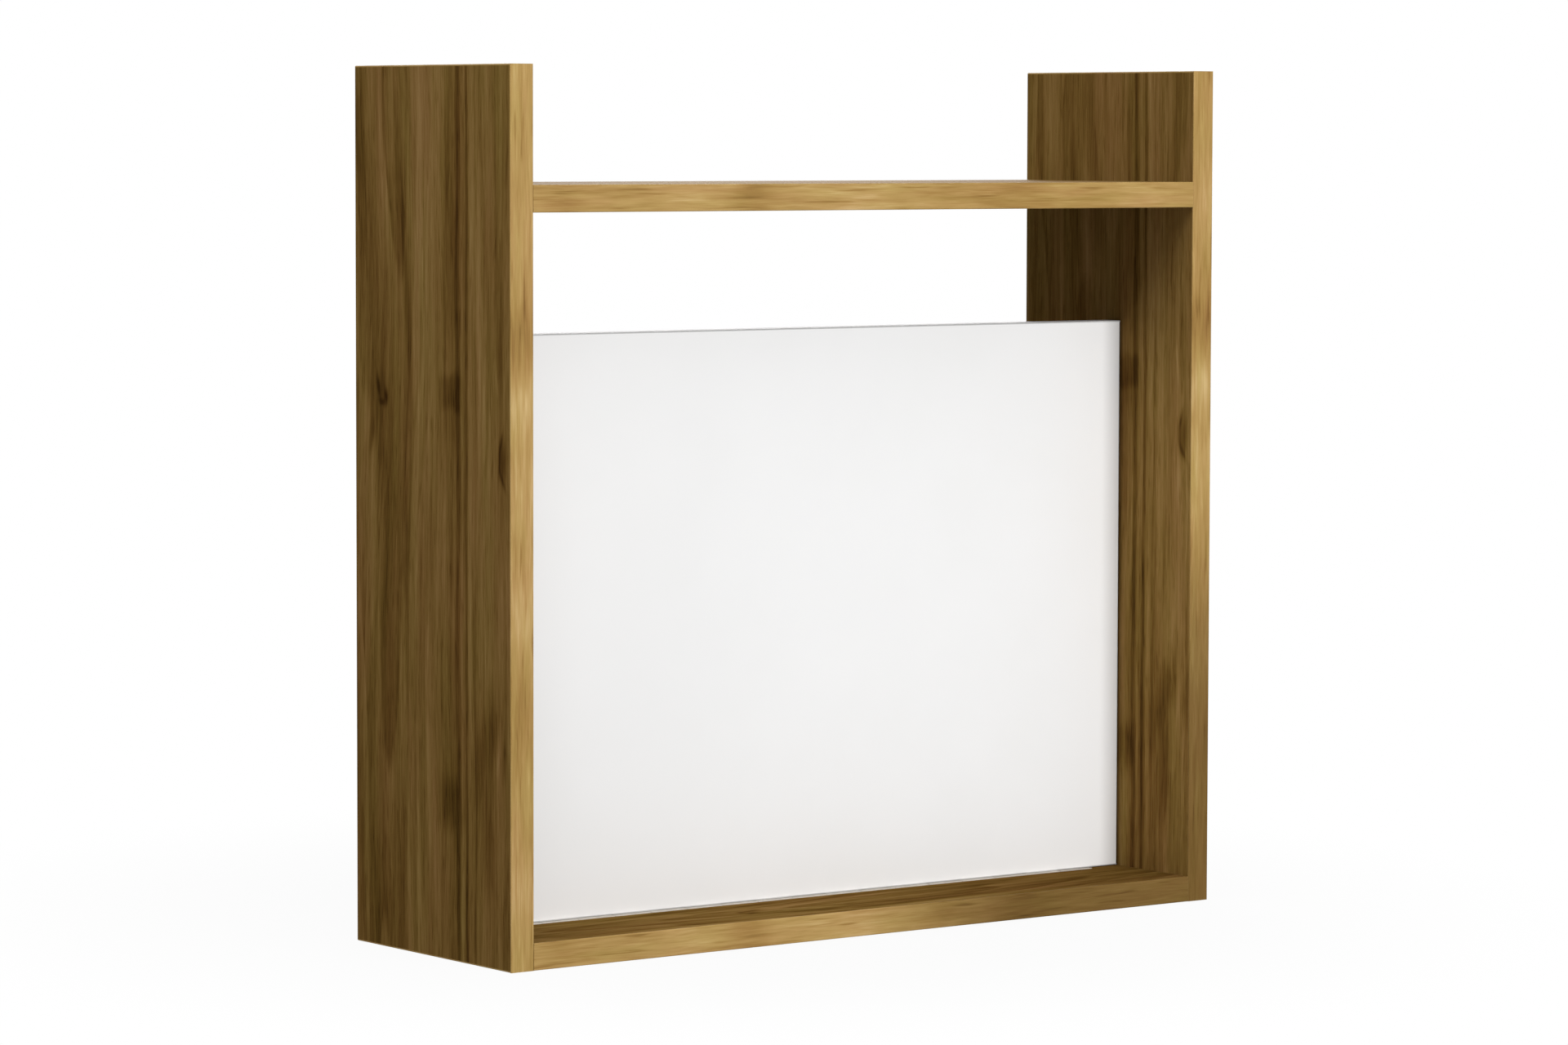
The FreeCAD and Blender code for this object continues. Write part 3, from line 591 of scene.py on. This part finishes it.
def edge_strip(node, order, blotches=(), painted_shade=NEVER_SHADED):
    """A strip of edging with its print along its length, a little paler where its corners are rubbed, and
    darker with painted shade over any span given.
    """
    material, tree = new_material("finish_" + node)
    place = object_place(tree, order)
    along = sway(tree, noise_at(tree, place, EDGING_WAVES["blotches"]), BLOTCH_SWAY, split(tree, place)["Y"])
    blotch = 0.0
    for middle, half_length, dark in blotches:
        blotch = calc(tree, "MULTIPLY_ADD", bell(tree, along, middle, half_length), dark, blotch)
    strip = use_group(tree, edging_print_and_shade, {"Place": place, "Blotch": blotch, "Painted Shade Start": painted_shade[0],
                                           "Painted Shade End": painted_shade[1]})
    rubbed = use_group(tree, worn_edges, {"Place": place, "Radius": EDGING_CORNER})["Mask"]
    share = calc(tree, "MULTIPLY", rubbed, RUBBED_SHARE)
    inputs = {
        "Base Color": mix_colours(tree, share, strip["Color"], srgb(*RUBBED_EDGING)),
        "Roughness": strip["Roughness"],
        "Specular IOR Level": EDGING_GLOSS,
    }
    finish_shader(tree, inputs, strip["Height"], EDGING_RELIEF)
    dress(node, material)


edge_strip("left_side_front_edging", "XZY", UPPER_BLOTCHES + LOWER_BLOTCHES)
edge_strip("right_side_front_edging", "XZY", UPPER_BLOTCHES, RIGHT_PAINTED_SHADE)
for side in ("left", "right"):
    edge_strip(side + "_side_top_edging", "XYZ")
    edge_strip(side + "_side_bottom_edging", "XYZ")


# Dowels and cam bolts
# Fluted beech dowels and zinc-plated bolts in the side boards' inner faces line up the level boards and
# draw them in. The dowels are turned, pressed with sixteen flutes for the glue and chamfered at both ends.
DOWEL_RADIUS = 0.004
DOWEL_FLUTES = 16
DOWEL_FLUTE_DEPTH = 0.0003
DOWEL_CREST_POWER = 0.5
DOWEL_CHAMFER = 0.001
DOWEL_SIDES = 64
DOWEL_RING = 0.001
DOWEL_SETBACKS = (0.074, 0.111)
DOWEL_RAIL_OFFSET = 0.025
SMOOTH_ANGLE = math.radians(30)
BEECH_TONES = {
    0.0: (170, 124, 84),
    0.5: (206, 164, 120),
    1.0: (226, 190, 148),
}
BEECH_FLECK_WAVES = (1400, 60, 1400)
BEECH_STREAK_WAVES = (420, 8, 420)
BEECH_CONTRAST = 0.7
BEECH_ROUGHNESS = 0.65
BEECH_GLOSS = 0.25
BEECH_RELIEF = 0.15
CLOUD_WAVES = (140, 140, 140)
GRIT_WAVES = (2600, 2600, 2600)
METAL_CORNER = 0.0004
METAL_RUB = 0.15
METAL_ROUGHNESS = 0.2
CLOUD_ROUGHNESS = 0.25
FINE_RELIEF_DEPTH = 0.00005

set_on_seats, given, result = new_group(
    "set_on_seats", {"Seats": "Geometry", "Piece": "Geometry", "Seed": "Int", "Finish": "Material"},
    {"Geometry": "Geometry"}, "GeometryNodeTree")
tree = set_on_seats
outward = add_node(tree, "GeometryNodeInputNamedAttribute", {"Name": "facing"}, data_type="FLOAT_VECTOR")
stand = add_node(tree, "FunctionNodeAlignRotationToVector", {"Vector": outward.outputs["Attribute"]},
                 axis="Z")
spin = add_node(tree, "FunctionNodeRandomValue", {2: 0.0, 3: math.tau, "Seed": given["Seed"]},
                data_type="FLOAT")
turn = add_node(tree, "FunctionNodeAxisAngleToRotation", {"Axis": (0, 0, 1), "Angle": spin.outputs[1]})
spun = add_node(tree, "FunctionNodeRotateRotation",
                {"Rotation": stand.outputs[0], "Rotate By": turn.outputs[0]}, rotation_space="LOCAL")
seated = add_node(tree, "GeometryNodeInstanceOnPoints",
                  {"Points": given["Seats"], "Instance": given["Piece"], "Rotation": spun.outputs[0]})
real = add_node(tree, "GeometryNodeRealizeInstances", {"Geometry": seated.outputs[0]})
finished = add_node(tree, "GeometryNodeSetMaterial",
                    {"Geometry": real.outputs[0], "Material": given["Finish"]})
tree.links.new(finished.outputs[0], result["Geometry"])


def turned_rod(tree, given, sides, radius_at):
    """A rod below its outer face at z = 0, whose radius follows a rule of the depth and the turn."""
    rod = add_node(tree, "GeometryNodeMeshCylinder",
                   {"Vertices": sides, "Side Segments": given["Rings"], "Depth": given["Length"]})
    drop = add_node(tree, "ShaderNodeCombineXYZ", {"Z": calc(tree, "MULTIPLY", given["Length"], -0.5)})
    sunk = add_node(tree, "GeometryNodeTransform",
                    {"Geometry": rod.outputs["Mesh"], "Translation": drop.outputs[0]})
    parts = split(tree, add_node(tree, "GeometryNodeInputPosition").outputs[0])
    depth = calc(tree, "MULTIPLY", parts["Z"], -1.0)
    turn = calc(tree, "ARCTAN2", parts["Y"], parts["X"])
    radius = radius_at(tree, given, depth, turn)
    moved = add_node(tree, "ShaderNodeCombineXYZ", {
        "X": calc(tree, "MULTIPLY", calc(tree, "COSINE", turn), radius),
        "Y": calc(tree, "MULTIPLY", calc(tree, "SINE", turn), radius),
        "Z": parts["Z"]})
    shaped = add_node(tree, "GeometryNodeSetPosition",
                      {"Geometry": sunk.outputs[0], "Position": moved.outputs[0]})
    return shaped.outputs[0]


def fitting_tree(name, sizes):
    """A tree that puts a fitting on each seat; its sizes are named inputs."""
    inputs = {"Seats": "Geometry", "Length": "Float", "Rings": "Int", "Seed": "Int", "Finish": "Material"}
    inputs.update(sizes)
    return new_group(name, inputs, {"Geometry": "Geometry"}, "GeometryNodeTree")


def end_fitting_tree(tree, given, result, piece):
    """Ends a fitting's tree: the piece is set on the seats, made real and given its finish."""
    seated = use_group(tree, set_on_seats, {"Seats": given["Seats"], "Piece": piece, "Seed": given["Seed"],
                                            "Finish": given["Finish"]})
    tree.links.new(seated[0], result["Geometry"])


def fit_pieces(name, tree, seats, sizes, body, nodes):
    """Makes one plain mesh of the fittings on their seats, in place of the CAD pieces that it names."""
    carrier = bpy.data.meshes.new(name)
    carrier.from_pydata([place for place, facing in seats], [], [])
    outward = carrier.attributes.new("facing", "FLOAT_VECTOR", "POINT")
    for item, (place, facing) in zip(outward.data, seats):
        item.vector = facing
    piece = add_object(name, carrier)
    modifier = piece.modifiers.new("fittings", "NODES")
    modifier.node_group = tree
    for socket in tree.interface.items_tree:
        if socket.in_out == "INPUT" and socket.name in sizes:
            modifier[socket.identifier] = sizes[socket.name]
    evaluated = piece.evaluated_get(bpy.context.evaluated_depsgraph_get())
    mesh = bpy.data.meshes.new_from_object(evaluated)
    piece.modifiers.clear()
    piece.data = mesh
    mesh.shade_smooth()
    mesh.set_sharp_from_angle(angle=SMOOTH_ANGLE)
    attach(piece, body)
    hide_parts(*nodes)


def middle_of(node, axis):
    """The middle of a CAD piece along an axis."""
    low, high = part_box(node)
    return (low[axis] + high[axis]) / 2


def dowel_radius(tree, given, depth, turn):
    """Shallow flutes all round, and a chamfer at each end."""
    half_turns = calc(tree, "MULTIPLY", turn, calc(tree, "MULTIPLY", given["Flutes"], 0.5))
    crest = calc(tree, "POWER", calc(tree, "ABSOLUTE", calc(tree, "SINE", half_turns)), DOWEL_CREST_POWER)
    groove = calc(tree, "MULTIPLY", calc(tree, "SUBTRACT", 1.0, crest), given["Flute Depth"])
    body = calc(tree, "SUBTRACT", given["Radius"], groove)
    from_end = calc(tree, "MINIMUM", depth, calc(tree, "SUBTRACT", given["Length"], depth))
    at_end = calc(tree, "ADD", calc(tree, "SUBTRACT", given["Radius"], given["Chamfer"]), from_end)
    return calc(tree, "MINIMUM", body, at_end)


fluted_dowel, given, result = fitting_tree(
    "fluted_dowel", {"Radius": "Float", "Flutes": "Float", "Flute Depth": "Float", "Chamfer": "Float"})
rod = turned_rod(fluted_dowel, given, DOWEL_SIDES, dowel_radius)
end_fitting_tree(fluted_dowel, given, result, rod)

beech, tree = new_material("finish_beech")
place = object_place(tree, "YXZ")
flecks = noise_at(tree, place, BEECH_FLECK_WAVES, roughness=0.6)
streaks = noise_at(tree, place, BEECH_STREAK_WAVES)
beech_tone = sway(tree, flecks, BEECH_CONTRAST, sway(tree, streaks, BEECH_CONTRAST, MID_TONE))
beech_inputs = {
    "Base Color": tone_ramp(tree, beech_tone, BEECH_TONES),
    "Roughness": sway(tree, flecks, ROUGHNESS_RANGE, BEECH_ROUGHNESS),
    "Specular IOR Level": BEECH_GLOSS,
}
finish_shader(tree, beech_inputs, flecks, BEECH_RELIEF)

for side, out in (("left", -1), ("right", 1)):
    node = side + "_dowels"
    low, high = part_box(node)
    start = low.x if out < 0 else high.x
    seats = [((start, -setback, middle_of(board, 2)), (out, 0, 0))
             for board in ("shelf_board", "bottom_board") for setback in DOWEL_SETBACKS]
    seats += [((start, middle_of("wall_rail", 1), offset), (out, 0, 0))
              for offset in (-DOWEL_RAIL_OFFSET, DOWEL_RAIL_OFFSET)]
    length = high.x - low.x
    sizes = {"Length": length, "Rings": round(length / DOWEL_RING), "Radius": DOWEL_RADIUS,
             "Flutes": float(DOWEL_FLUTES), "Flute Depth": DOWEL_FLUTE_DEPTH, "Chamfer": DOWEL_CHAMFER,
             "Seed": 3, "Finish": beech}
    fit_pieces(side + "_fluted_dowels", fluted_dowel, seats, sizes, "frame", [node])

metal_finish, given, result = new_group(
    "metal_finish", {"Place": "Vector", "Tone": "Color", "Cloud": "Float", "Grit": "Float"},
    {"Color": "Color", "Roughness": "Float", "Height": "Float"})
tree = metal_finish
clouds = noise_at(tree, given["Place"], CLOUD_WAVES, detail=3.0, roughness=0.6)
grit = noise_at(tree, given["Place"], GRIT_WAVES, roughness=0.6)
worn = use_group(tree, worn_edges, {"Place": given["Place"], "Radius": METAL_CORNER})["Mask"]
level = sway(tree, grit, given["Grit"], sway(tree, clouds, given["Cloud"], 1.0))
level = calc(tree, "MULTIPLY_ADD", worn, METAL_RUB, level)
grey = add_node(tree, "ShaderNodeCombineColor", {0: level, 1: level, 2: level}).outputs[0]
tree.links.new(mix_colours(tree, 1.0, given["Tone"], grey, "MULTIPLY"), result["Color"])
tree.links.new(calc(tree, "MULTIPLY_ADD", clouds, CLOUD_ROUGHNESS, METAL_ROUGHNESS), result["Roughness"])
tree.links.new(grit, result["Height"])


def metal_material(name, tone, cloud, grit, bump):
    """A plated or cast metal: cloudy, a little gritty, and brighter where its edges are rubbed."""
    material, tree = new_material("finish_" + name)
    metal = use_group(tree, metal_finish, {"Place": object_place(tree, "XYZ"), "Tone": srgb(*tone),
                                           "Cloud": cloud, "Grit": grit})
    inputs = {"Base Color": metal["Color"], "Roughness": metal["Roughness"], "Metallic": 1.0}
    finish_shader(tree, inputs, metal["Height"], bump, FINE_RELIEF_DEPTH)
    return material


zinc_plate = metal_material("zinc_plate", tone=(168, 170, 168), cloud=0.5, grit=0.3, bump=0.1)
dress("left_cam_bolts", zinc_plate)
dress("right_cam_bolts", zinc_plate)


# Shelf and bottom board
# Two level boards of the same printed particle board, set between the sides on dowels, edged only in front.
# Four cast cams in each, let into the underside, turn and pull on the bolts in the side boards.
SHELF_GLOSS = 0.05
# Painted shade darkens the bottom board's print towards its right end
BOTTOM_BOARD_SHADE = (-0.14, 0.36)
# Where each board's print is cut from the sheet, how it shines and where painted shade darkens it
BOARD_PRINTS = (
    ("shelf_board", (0.40, 1.70, 0.40), SHELF_GLOSS, NEVER_SHADED),
    ("bottom_board", (0.1155, 0.112, 0.10), WOOD_GLOSS, BOTTOM_BOARD_SHADE),
)
LEVEL_BLOTCHES = (
    (-0.107, 0.016, 0.24),
    (-0.160, 0.022, -0.14),
    (-0.262, 0.012, 0.08),
    (-0.020, 0.030, -0.16),
    (0.128, 0.034, 0.15),
    (0.060, 0.014, 0.06),
    (0.240, 0.024, -0.08),
)
# Painted shade on the bottom board's front strip, darker towards its right end
BOTTOM_EDGING_SHADE = (-0.04, 0.14)
CAM_RADIUS = 0.0074
CAM_CHAMFER = 0.0006
CAM_SIDES = 48
CAM_ARROW_PLACE = 0.0057
CAM_ARROW_RADIUS = 0.0012
CAM_ARROW_DEPTH = 0.0005
# The cross for the driver: the reach of its arms, their width and their depth
CROSS_INPUTS = {"Cross Reach": "Float", "Cross Width": "Float", "Cross Depth": "Float"}
CAM_CROSS = (0.004, 0.0016, 0.002)

for node, shift, gloss, painted_shade in BOARD_PRINTS:
    dress(node, board_material(node, "YXZ", shift, walnut_print, gloss, painted_shade))
edge_strip("shelf_front_edging", "ZXY", LEVEL_BLOTCHES)
edge_strip("bottom_front_edging", "ZXY", LEVEL_BLOTCHES, BOTTOM_EDGING_SHADE)


def cross_recess(tree, given, piece):
    """A cross for the driver, cut into the outer face of a fitting."""
    cut = add_node(tree, "GeometryNodeMeshBoolean", {"Mesh 1": piece},
                   operation="DIFFERENCE", solver="MANIFOLD")
    width = given["Cross Width"]
    length = calc(tree, "MULTIPLY", given["Cross Reach"], 2.0)
    height = calc(tree, "MULTIPLY", given["Cross Depth"], 2.0)
    for sides in ((length, width), (width, length)):
        size = add_node(tree, "ShaderNodeCombineXYZ", {"X": sides[0], "Y": sides[1], "Z": height})
        arm = add_node(tree, "GeometryNodeMeshCube", {"Size": size.outputs[0]})
        tree.links.new(arm.outputs["Mesh"], cut.inputs["Mesh 2"])
    return cut


def cam_radius(tree, given, depth, turn):
    """A drum with a chamfer round its outer face."""
    chamfered = calc(tree, "ADD", calc(tree, "SUBTRACT", given["Radius"], given["Chamfer"]), depth)
    return calc(tree, "MINIMUM", given["Radius"], chamfered)


cam_lock, given, result = fitting_tree(
    "cam_lock", {"Radius": "Float", "Chamfer": "Float", "Arrow Place": "Float", "Arrow Radius": "Float",
                 "Arrow Depth": "Float", **CROSS_INPUTS})
tree = cam_lock
cut = cross_recess(tree, given, turned_rod(tree, given, CAM_SIDES, cam_radius))
arrow_height = calc(tree, "MULTIPLY", given["Arrow Depth"], 2.0)
arrow = add_node(tree, "GeometryNodeMeshCylinder",
                 {"Vertices": 3, "Radius": given["Arrow Radius"], "Depth": arrow_height})
arrow_place = add_node(tree, "ShaderNodeCombineXYZ", {"X": given["Arrow Place"]})
moved_arrow = add_node(tree, "GeometryNodeTransform",
                       {"Geometry": arrow.outputs["Mesh"], "Translation": arrow_place.outputs[0]})
tree.links.new(moved_arrow.outputs[0], cut.inputs["Mesh 2"])
end_fitting_tree(tree, given, result, cut.outputs["Mesh"])


def seats_on(node, facing, counts, radius):
    """The seats of a CAD group's fittings: its box, less their radius, shared out across the facing."""
    low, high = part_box(node)
    lines = []
    for axis in range(3):
        first = low[axis] + radius
        last = high[axis] - radius
        if facing[axis]:
            lines.append([high[axis] if facing[axis] > 0 else low[axis]])
        else:
            steps = max(counts[axis] - 1, 1)
            lines.append([first + (last - first) * i / steps for i in range(counts[axis])])
    return [(place, facing) for place in itertools.product(*lines)]


cast_zinc = metal_material("cast_zinc", tone=(150, 152, 154), cloud=0.6, grit=0.5, bump=0.35)
low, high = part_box("shelf_cams")
cam_height = high.z - low.z
cam_seats = seats_on("shelf_cams", (0, 0, -1), (2, 2, 1), CAM_RADIUS)
cam_seats += seats_on("bottom_cams", (0, 0, -1), (2, 2, 1), CAM_RADIUS)
cam_seats += seats_on("rail_cams", (0, 1, 0), (2, 1, 1), CAM_RADIUS)
cam_sizes = {"Length": cam_height, "Rings": round(cam_height / CAM_CHAMFER), "Radius": CAM_RADIUS,
             "Chamfer": CAM_CHAMFER, "Arrow Place": CAM_ARROW_PLACE, "Arrow Radius": CAM_ARROW_RADIUS,
             "Arrow Depth": CAM_ARROW_DEPTH, "Seed": 5, "Finish": cast_zinc,
             **dict(zip(CROSS_INPUTS, CAM_CROSS))}
fit_pieces("cam_locks", cam_lock, cam_seats, cam_sizes, "frame", ["shelf_cams", "bottom_cams", "rail_cams"])


# Wall rail
# A narrow upright board across the back, edged on top and below, with two pairs of countersunk holes.
# Screws through the holes hang the whole desk on the wall; its two cams are let into the hidden back face.
RAIL_SHIFT = (1.30, 0.90, 0.70)

dress("wall_rail", board_material("wall_rail", "ZXY", RAIL_SHIFT, walnut_print, WOOD_GLOSS))
edge_strip("wall_rail_top_edging", "YXZ")
edge_strip("wall_rail_bottom_edging", "YXZ")


# Hinge
# A long piano hinge of thin nickel-plated steel, its seventeen knuckles rolled round one pin.
# One leaf lies in a groove of the bottom board and the other in the flap's lower edge.
nickel = metal_material("nickel", tone=(216, 210, 200), cloud=0.35, grit=0.2, bump=0.08)
for node in ("hinge_board_leaf", "hinge_flap_leaf", "hinge_pin"):
    dress(node, nickel)


# Flap
# The desk's one moving board, of particle board faced in white melamine with a fine pearl texture.
# Its thin edging strips are the same white tinted grey as painted shade; it folds down on the hinge to lie on
# the bottom board.
MELAMINE_TONES = {
    0.0: (234, 234, 233),
    0.5: (238, 238, 238),
    1.0: (241, 241, 241),
}
PEARL_WAVES = (700, 700, 700)
HAZE_WAVES = (14, 14, 14)
HAZE_TONE = 0.6
MELAMINE_ROUGHNESS = 0.42
PEARL_ROUGHNESS = 0.15
MELAMINE_GLOSS = 0.35
# Painted shade: the edging strips are tinted grey, standing in for the shelf's shade over the flap's top edge
STRIP_SHADE_TINT = (0.60, 0.60, 0.60, 1)
STRIP_RELIEF = 0.06

white_melamine, given, result = new_group("white_melamine", {"Place": "Vector"},
                                          {"Color": "Color", "Height": "Float", "Roughness": "Float"})
tree = white_melamine
pearl = noise_at(tree, given["Place"], PEARL_WAVES)
haze = noise_at(tree, given["Place"], HAZE_WAVES)
tree.links.new(tone_ramp(tree, sway(tree, haze, HAZE_TONE, MID_TONE), MELAMINE_TONES), result["Color"])
tree.links.new(pearl, result["Height"])
tree.links.new(sway(tree, pearl, PEARL_ROUGHNESS, MELAMINE_ROUGHNESS), result["Roughness"])

dress("flap_board", board_material("flap_board", "XZY", (0, 0, 0), white_melamine, MELAMINE_GLOSS))
# Each strip is the flap's white, tinted grey by painted shade
for edge in ("top", "bottom", "left", "right"):
    node = "flap_" + edge + "_edging"
    material, tree = new_material("finish_" + node)
    strip = use_group(tree, white_melamine, {"Place": object_place(tree, "XZY")})
    strip_inputs = {
        "Base Color": mix_colours(tree, 1.0, strip["Color"], STRIP_SHADE_TINT, "MULTIPLY"),
        "Roughness": strip["Roughness"],
        "Specular IOR Level": MELAMINE_GLOSS,
    }
    finish_shader(tree, strip_inputs, strip["Height"], STRIP_RELIEF)
    dress(node, material)


# Screws
# Small countersunk wood screws of zinc-plated steel, with a cross recess and a rolled thread.
# They hold both hinge leaves, the catches on the side boards and the strike plates on the flap.
SCREW_HEAD_RADIUS = 0.0025
SCREW_SHANK_RADIUS = 0.0015
SCREW_TIP_LENGTH = 0.0025
SCREW_TIP_RADIUS = 0.0001
SCREW_THREAD_PITCH = 0.0012
SCREW_THREAD_DEPTH = 0.0004
SCREW_RINGS = 60
SCREW_SIDES = 24
SCREW_CROSS = (0.0014, 0.0006, 0.0009)
HINGE_SCREW_COUNTS = (7, 1, 1)
CATCH_SCREW_COUNTS = (1, 1, 2)
STRIKE_SCREW_COUNTS = (1, 1, 1)


def screw_radius(tree, given, depth, turn):
    """A cone under the head, a thread that climbs once round for each pitch, and a point."""
    cone = calc(tree, "SUBTRACT", given["Head Radius"], depth)
    climb = calc(tree, "SUBTRACT", calc(tree, "DIVIDE", depth, given["Thread Pitch"]),
                 calc(tree, "DIVIDE", turn, math.tau))
    ridge = calc(tree, "MULTIPLY", calc(tree, "PINGPONG", climb, 0.5), 2.0)
    valley = calc(tree, "MULTIPLY", calc(tree, "SUBTRACT", 1.0, ridge), given["Thread Depth"])
    shank = calc(tree, "SUBTRACT", given["Shank Radius"], valley)
    to_tip = calc(tree, "DIVIDE", calc(tree, "SUBTRACT", given["Length"], depth), given["Tip Length"])
    taper = calc(tree, "MULTIPLY_ADD", to_tip, given["Shank Radius"], given["Tip Radius"])
    return calc(tree, "MINIMUM", calc(tree, "MAXIMUM", cone, shank), taper)


wood_screw, given, result = fitting_tree(
    "wood_screw", {"Head Radius": "Float", "Shank Radius": "Float", "Tip Length": "Float",
                   "Tip Radius": "Float", "Thread Pitch": "Float", "Thread Depth": "Float", **CROSS_INPUTS})
tree = wood_screw
cut = cross_recess(tree, given, turned_rod(tree, given, SCREW_SIDES, screw_radius))
end_fitting_tree(tree, given, result, cut.outputs["Mesh"])

low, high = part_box("hinge_board_screws")
screw_sizes = {"Length": high.z - low.z, "Rings": SCREW_RINGS,
               "Head Radius": SCREW_HEAD_RADIUS, "Shank Radius": SCREW_SHANK_RADIUS,
               "Tip Length": SCREW_TIP_LENGTH, "Tip Radius": SCREW_TIP_RADIUS,
               "Thread Pitch": SCREW_THREAD_PITCH, "Thread Depth": SCREW_THREAD_DEPTH,
               "Seed": 8, "Finish": zinc_plate, **dict(zip(CROSS_INPUTS, SCREW_CROSS))}
frame_seats = seats_on("hinge_board_screws", (0, 0, 1), HINGE_SCREW_COUNTS, SCREW_HEAD_RADIUS)
frame_seats += seats_on("left_catch_screws", (1, 0, 0), CATCH_SCREW_COUNTS, SCREW_HEAD_RADIUS)
frame_seats += seats_on("right_catch_screws", (-1, 0, 0), CATCH_SCREW_COUNTS, SCREW_HEAD_RADIUS)
fit_pieces("frame_wood_screws", wood_screw, frame_seats, screw_sizes, "frame",
           ["hinge_board_screws", "left_catch_screws", "right_catch_screws"])
flap_seats = seats_on("hinge_flap_screws", (0, 0, -1), HINGE_SCREW_COUNTS, SCREW_HEAD_RADIUS)
flap_seats += seats_on("left_strike_screw", (0, 1, 0), STRIKE_SCREW_COUNTS, SCREW_HEAD_RADIUS)
flap_seats += seats_on("right_strike_screw", (0, 1, 0), STRIKE_SCREW_COUNTS, SCREW_HEAD_RADIUS)
fit_pieces("flap_wood_screws", wood_screw, flap_seats, screw_sizes, "flap",
           ["hinge_flap_screws", "left_strike_screw", "right_strike_screw"])


# Catches and strike plates
# Behind each upper corner of the flap a brown plastic housing holds a ferrite magnet between two pole plates
# of steel. It meets a small nickel-plated strike plate, screwed to the back of the flap, and keeps it shut.
PLASTIC_TONES = {
    0.0: (58, 38, 26),
    0.5: (74, 50, 35),
    1.0: (88, 62, 45),
}
SPARK_WAVES = (1500, 1500, 1500)
SWIRL_WAVES = (90, 90, 40)
SPARK_TONE = 0.3
PLASTIC_CORNER = 0.0005
PLASTIC_RUB = 0.4
PLASTIC_ROUGHNESS = 0.45
FERRITE_TONES = {
    0.0: (34, 34, 36),
    0.6: (52, 52, 54),
    1.0: (92, 92, 94),
}
FERRITE_MEAN = 0.4
SPECKLE_WAVES = (2200, 2200, 2200)
SPECKLE_TONE = 1.2
FERRITE_CORNER = 0.0004
FERRITE_RUB = 0.5
FERRITE_ROUGHNESS = 0.55
SPECKLE_ROUGHNESS = 0.3
MOULDED_RELIEF = 0.2

brown_plastic, tree = new_material("finish_brown_plastic")
place = object_place(tree, "XYZ")
spark = noise_at(tree, place, SPARK_WAVES)
swirl = noise_at(tree, place, SWIRL_WAVES)
rubbed = use_group(tree, worn_edges, {"Place": place, "Radius": PLASTIC_CORNER})["Mask"]
plastic_tone = calc(tree, "MULTIPLY_ADD", rubbed, PLASTIC_RUB, sway(tree, spark, SPARK_TONE, swirl))
plastic_inputs = {
    "Base Color": tone_ramp(tree, plastic_tone, PLASTIC_TONES),
    "Roughness": sway(tree, spark, ROUGHNESS_RANGE, PLASTIC_ROUGHNESS),
}
finish_shader(tree, plastic_inputs, spark, MOULDED_RELIEF, FINE_RELIEF_DEPTH)

ferrite, tree = new_material("finish_ferrite")
place = object_place(tree, "XYZ")
speckle = noise_at(tree, place, SPECKLE_WAVES, roughness=0.7)
rubbed = use_group(tree, worn_edges, {"Place": place, "Radius": FERRITE_CORNER})["Mask"]
ferrite_tone = sway(tree, speckle, SPECKLE_TONE, FERRITE_MEAN)
ferrite_tone = calc(tree, "MULTIPLY_ADD", rubbed, FERRITE_RUB, ferrite_tone)
ferrite_inputs = {
    "Base Color": tone_ramp(tree, ferrite_tone, FERRITE_TONES),
    "Roughness": sway(tree, speckle, SPECKLE_ROUGHNESS, FERRITE_ROUGHNESS),
}
finish_shader(tree, ferrite_inputs, speckle, MOULDED_RELIEF, FINE_RELIEF_DEPTH)

satin_nickel = metal_material("satin_nickel", tone=(164, 160, 152), cloud=0.35, grit=0.2, bump=0.08)
for side in ("left", "right"):
    dress(side + "_catch_housing", brown_plastic)
    dress(side + "_catch_magnet", ferrite)
    dress(side + "_catch_pole_plates", zinc_plate)
    dress(side + "_strike_plate", satin_nickel)
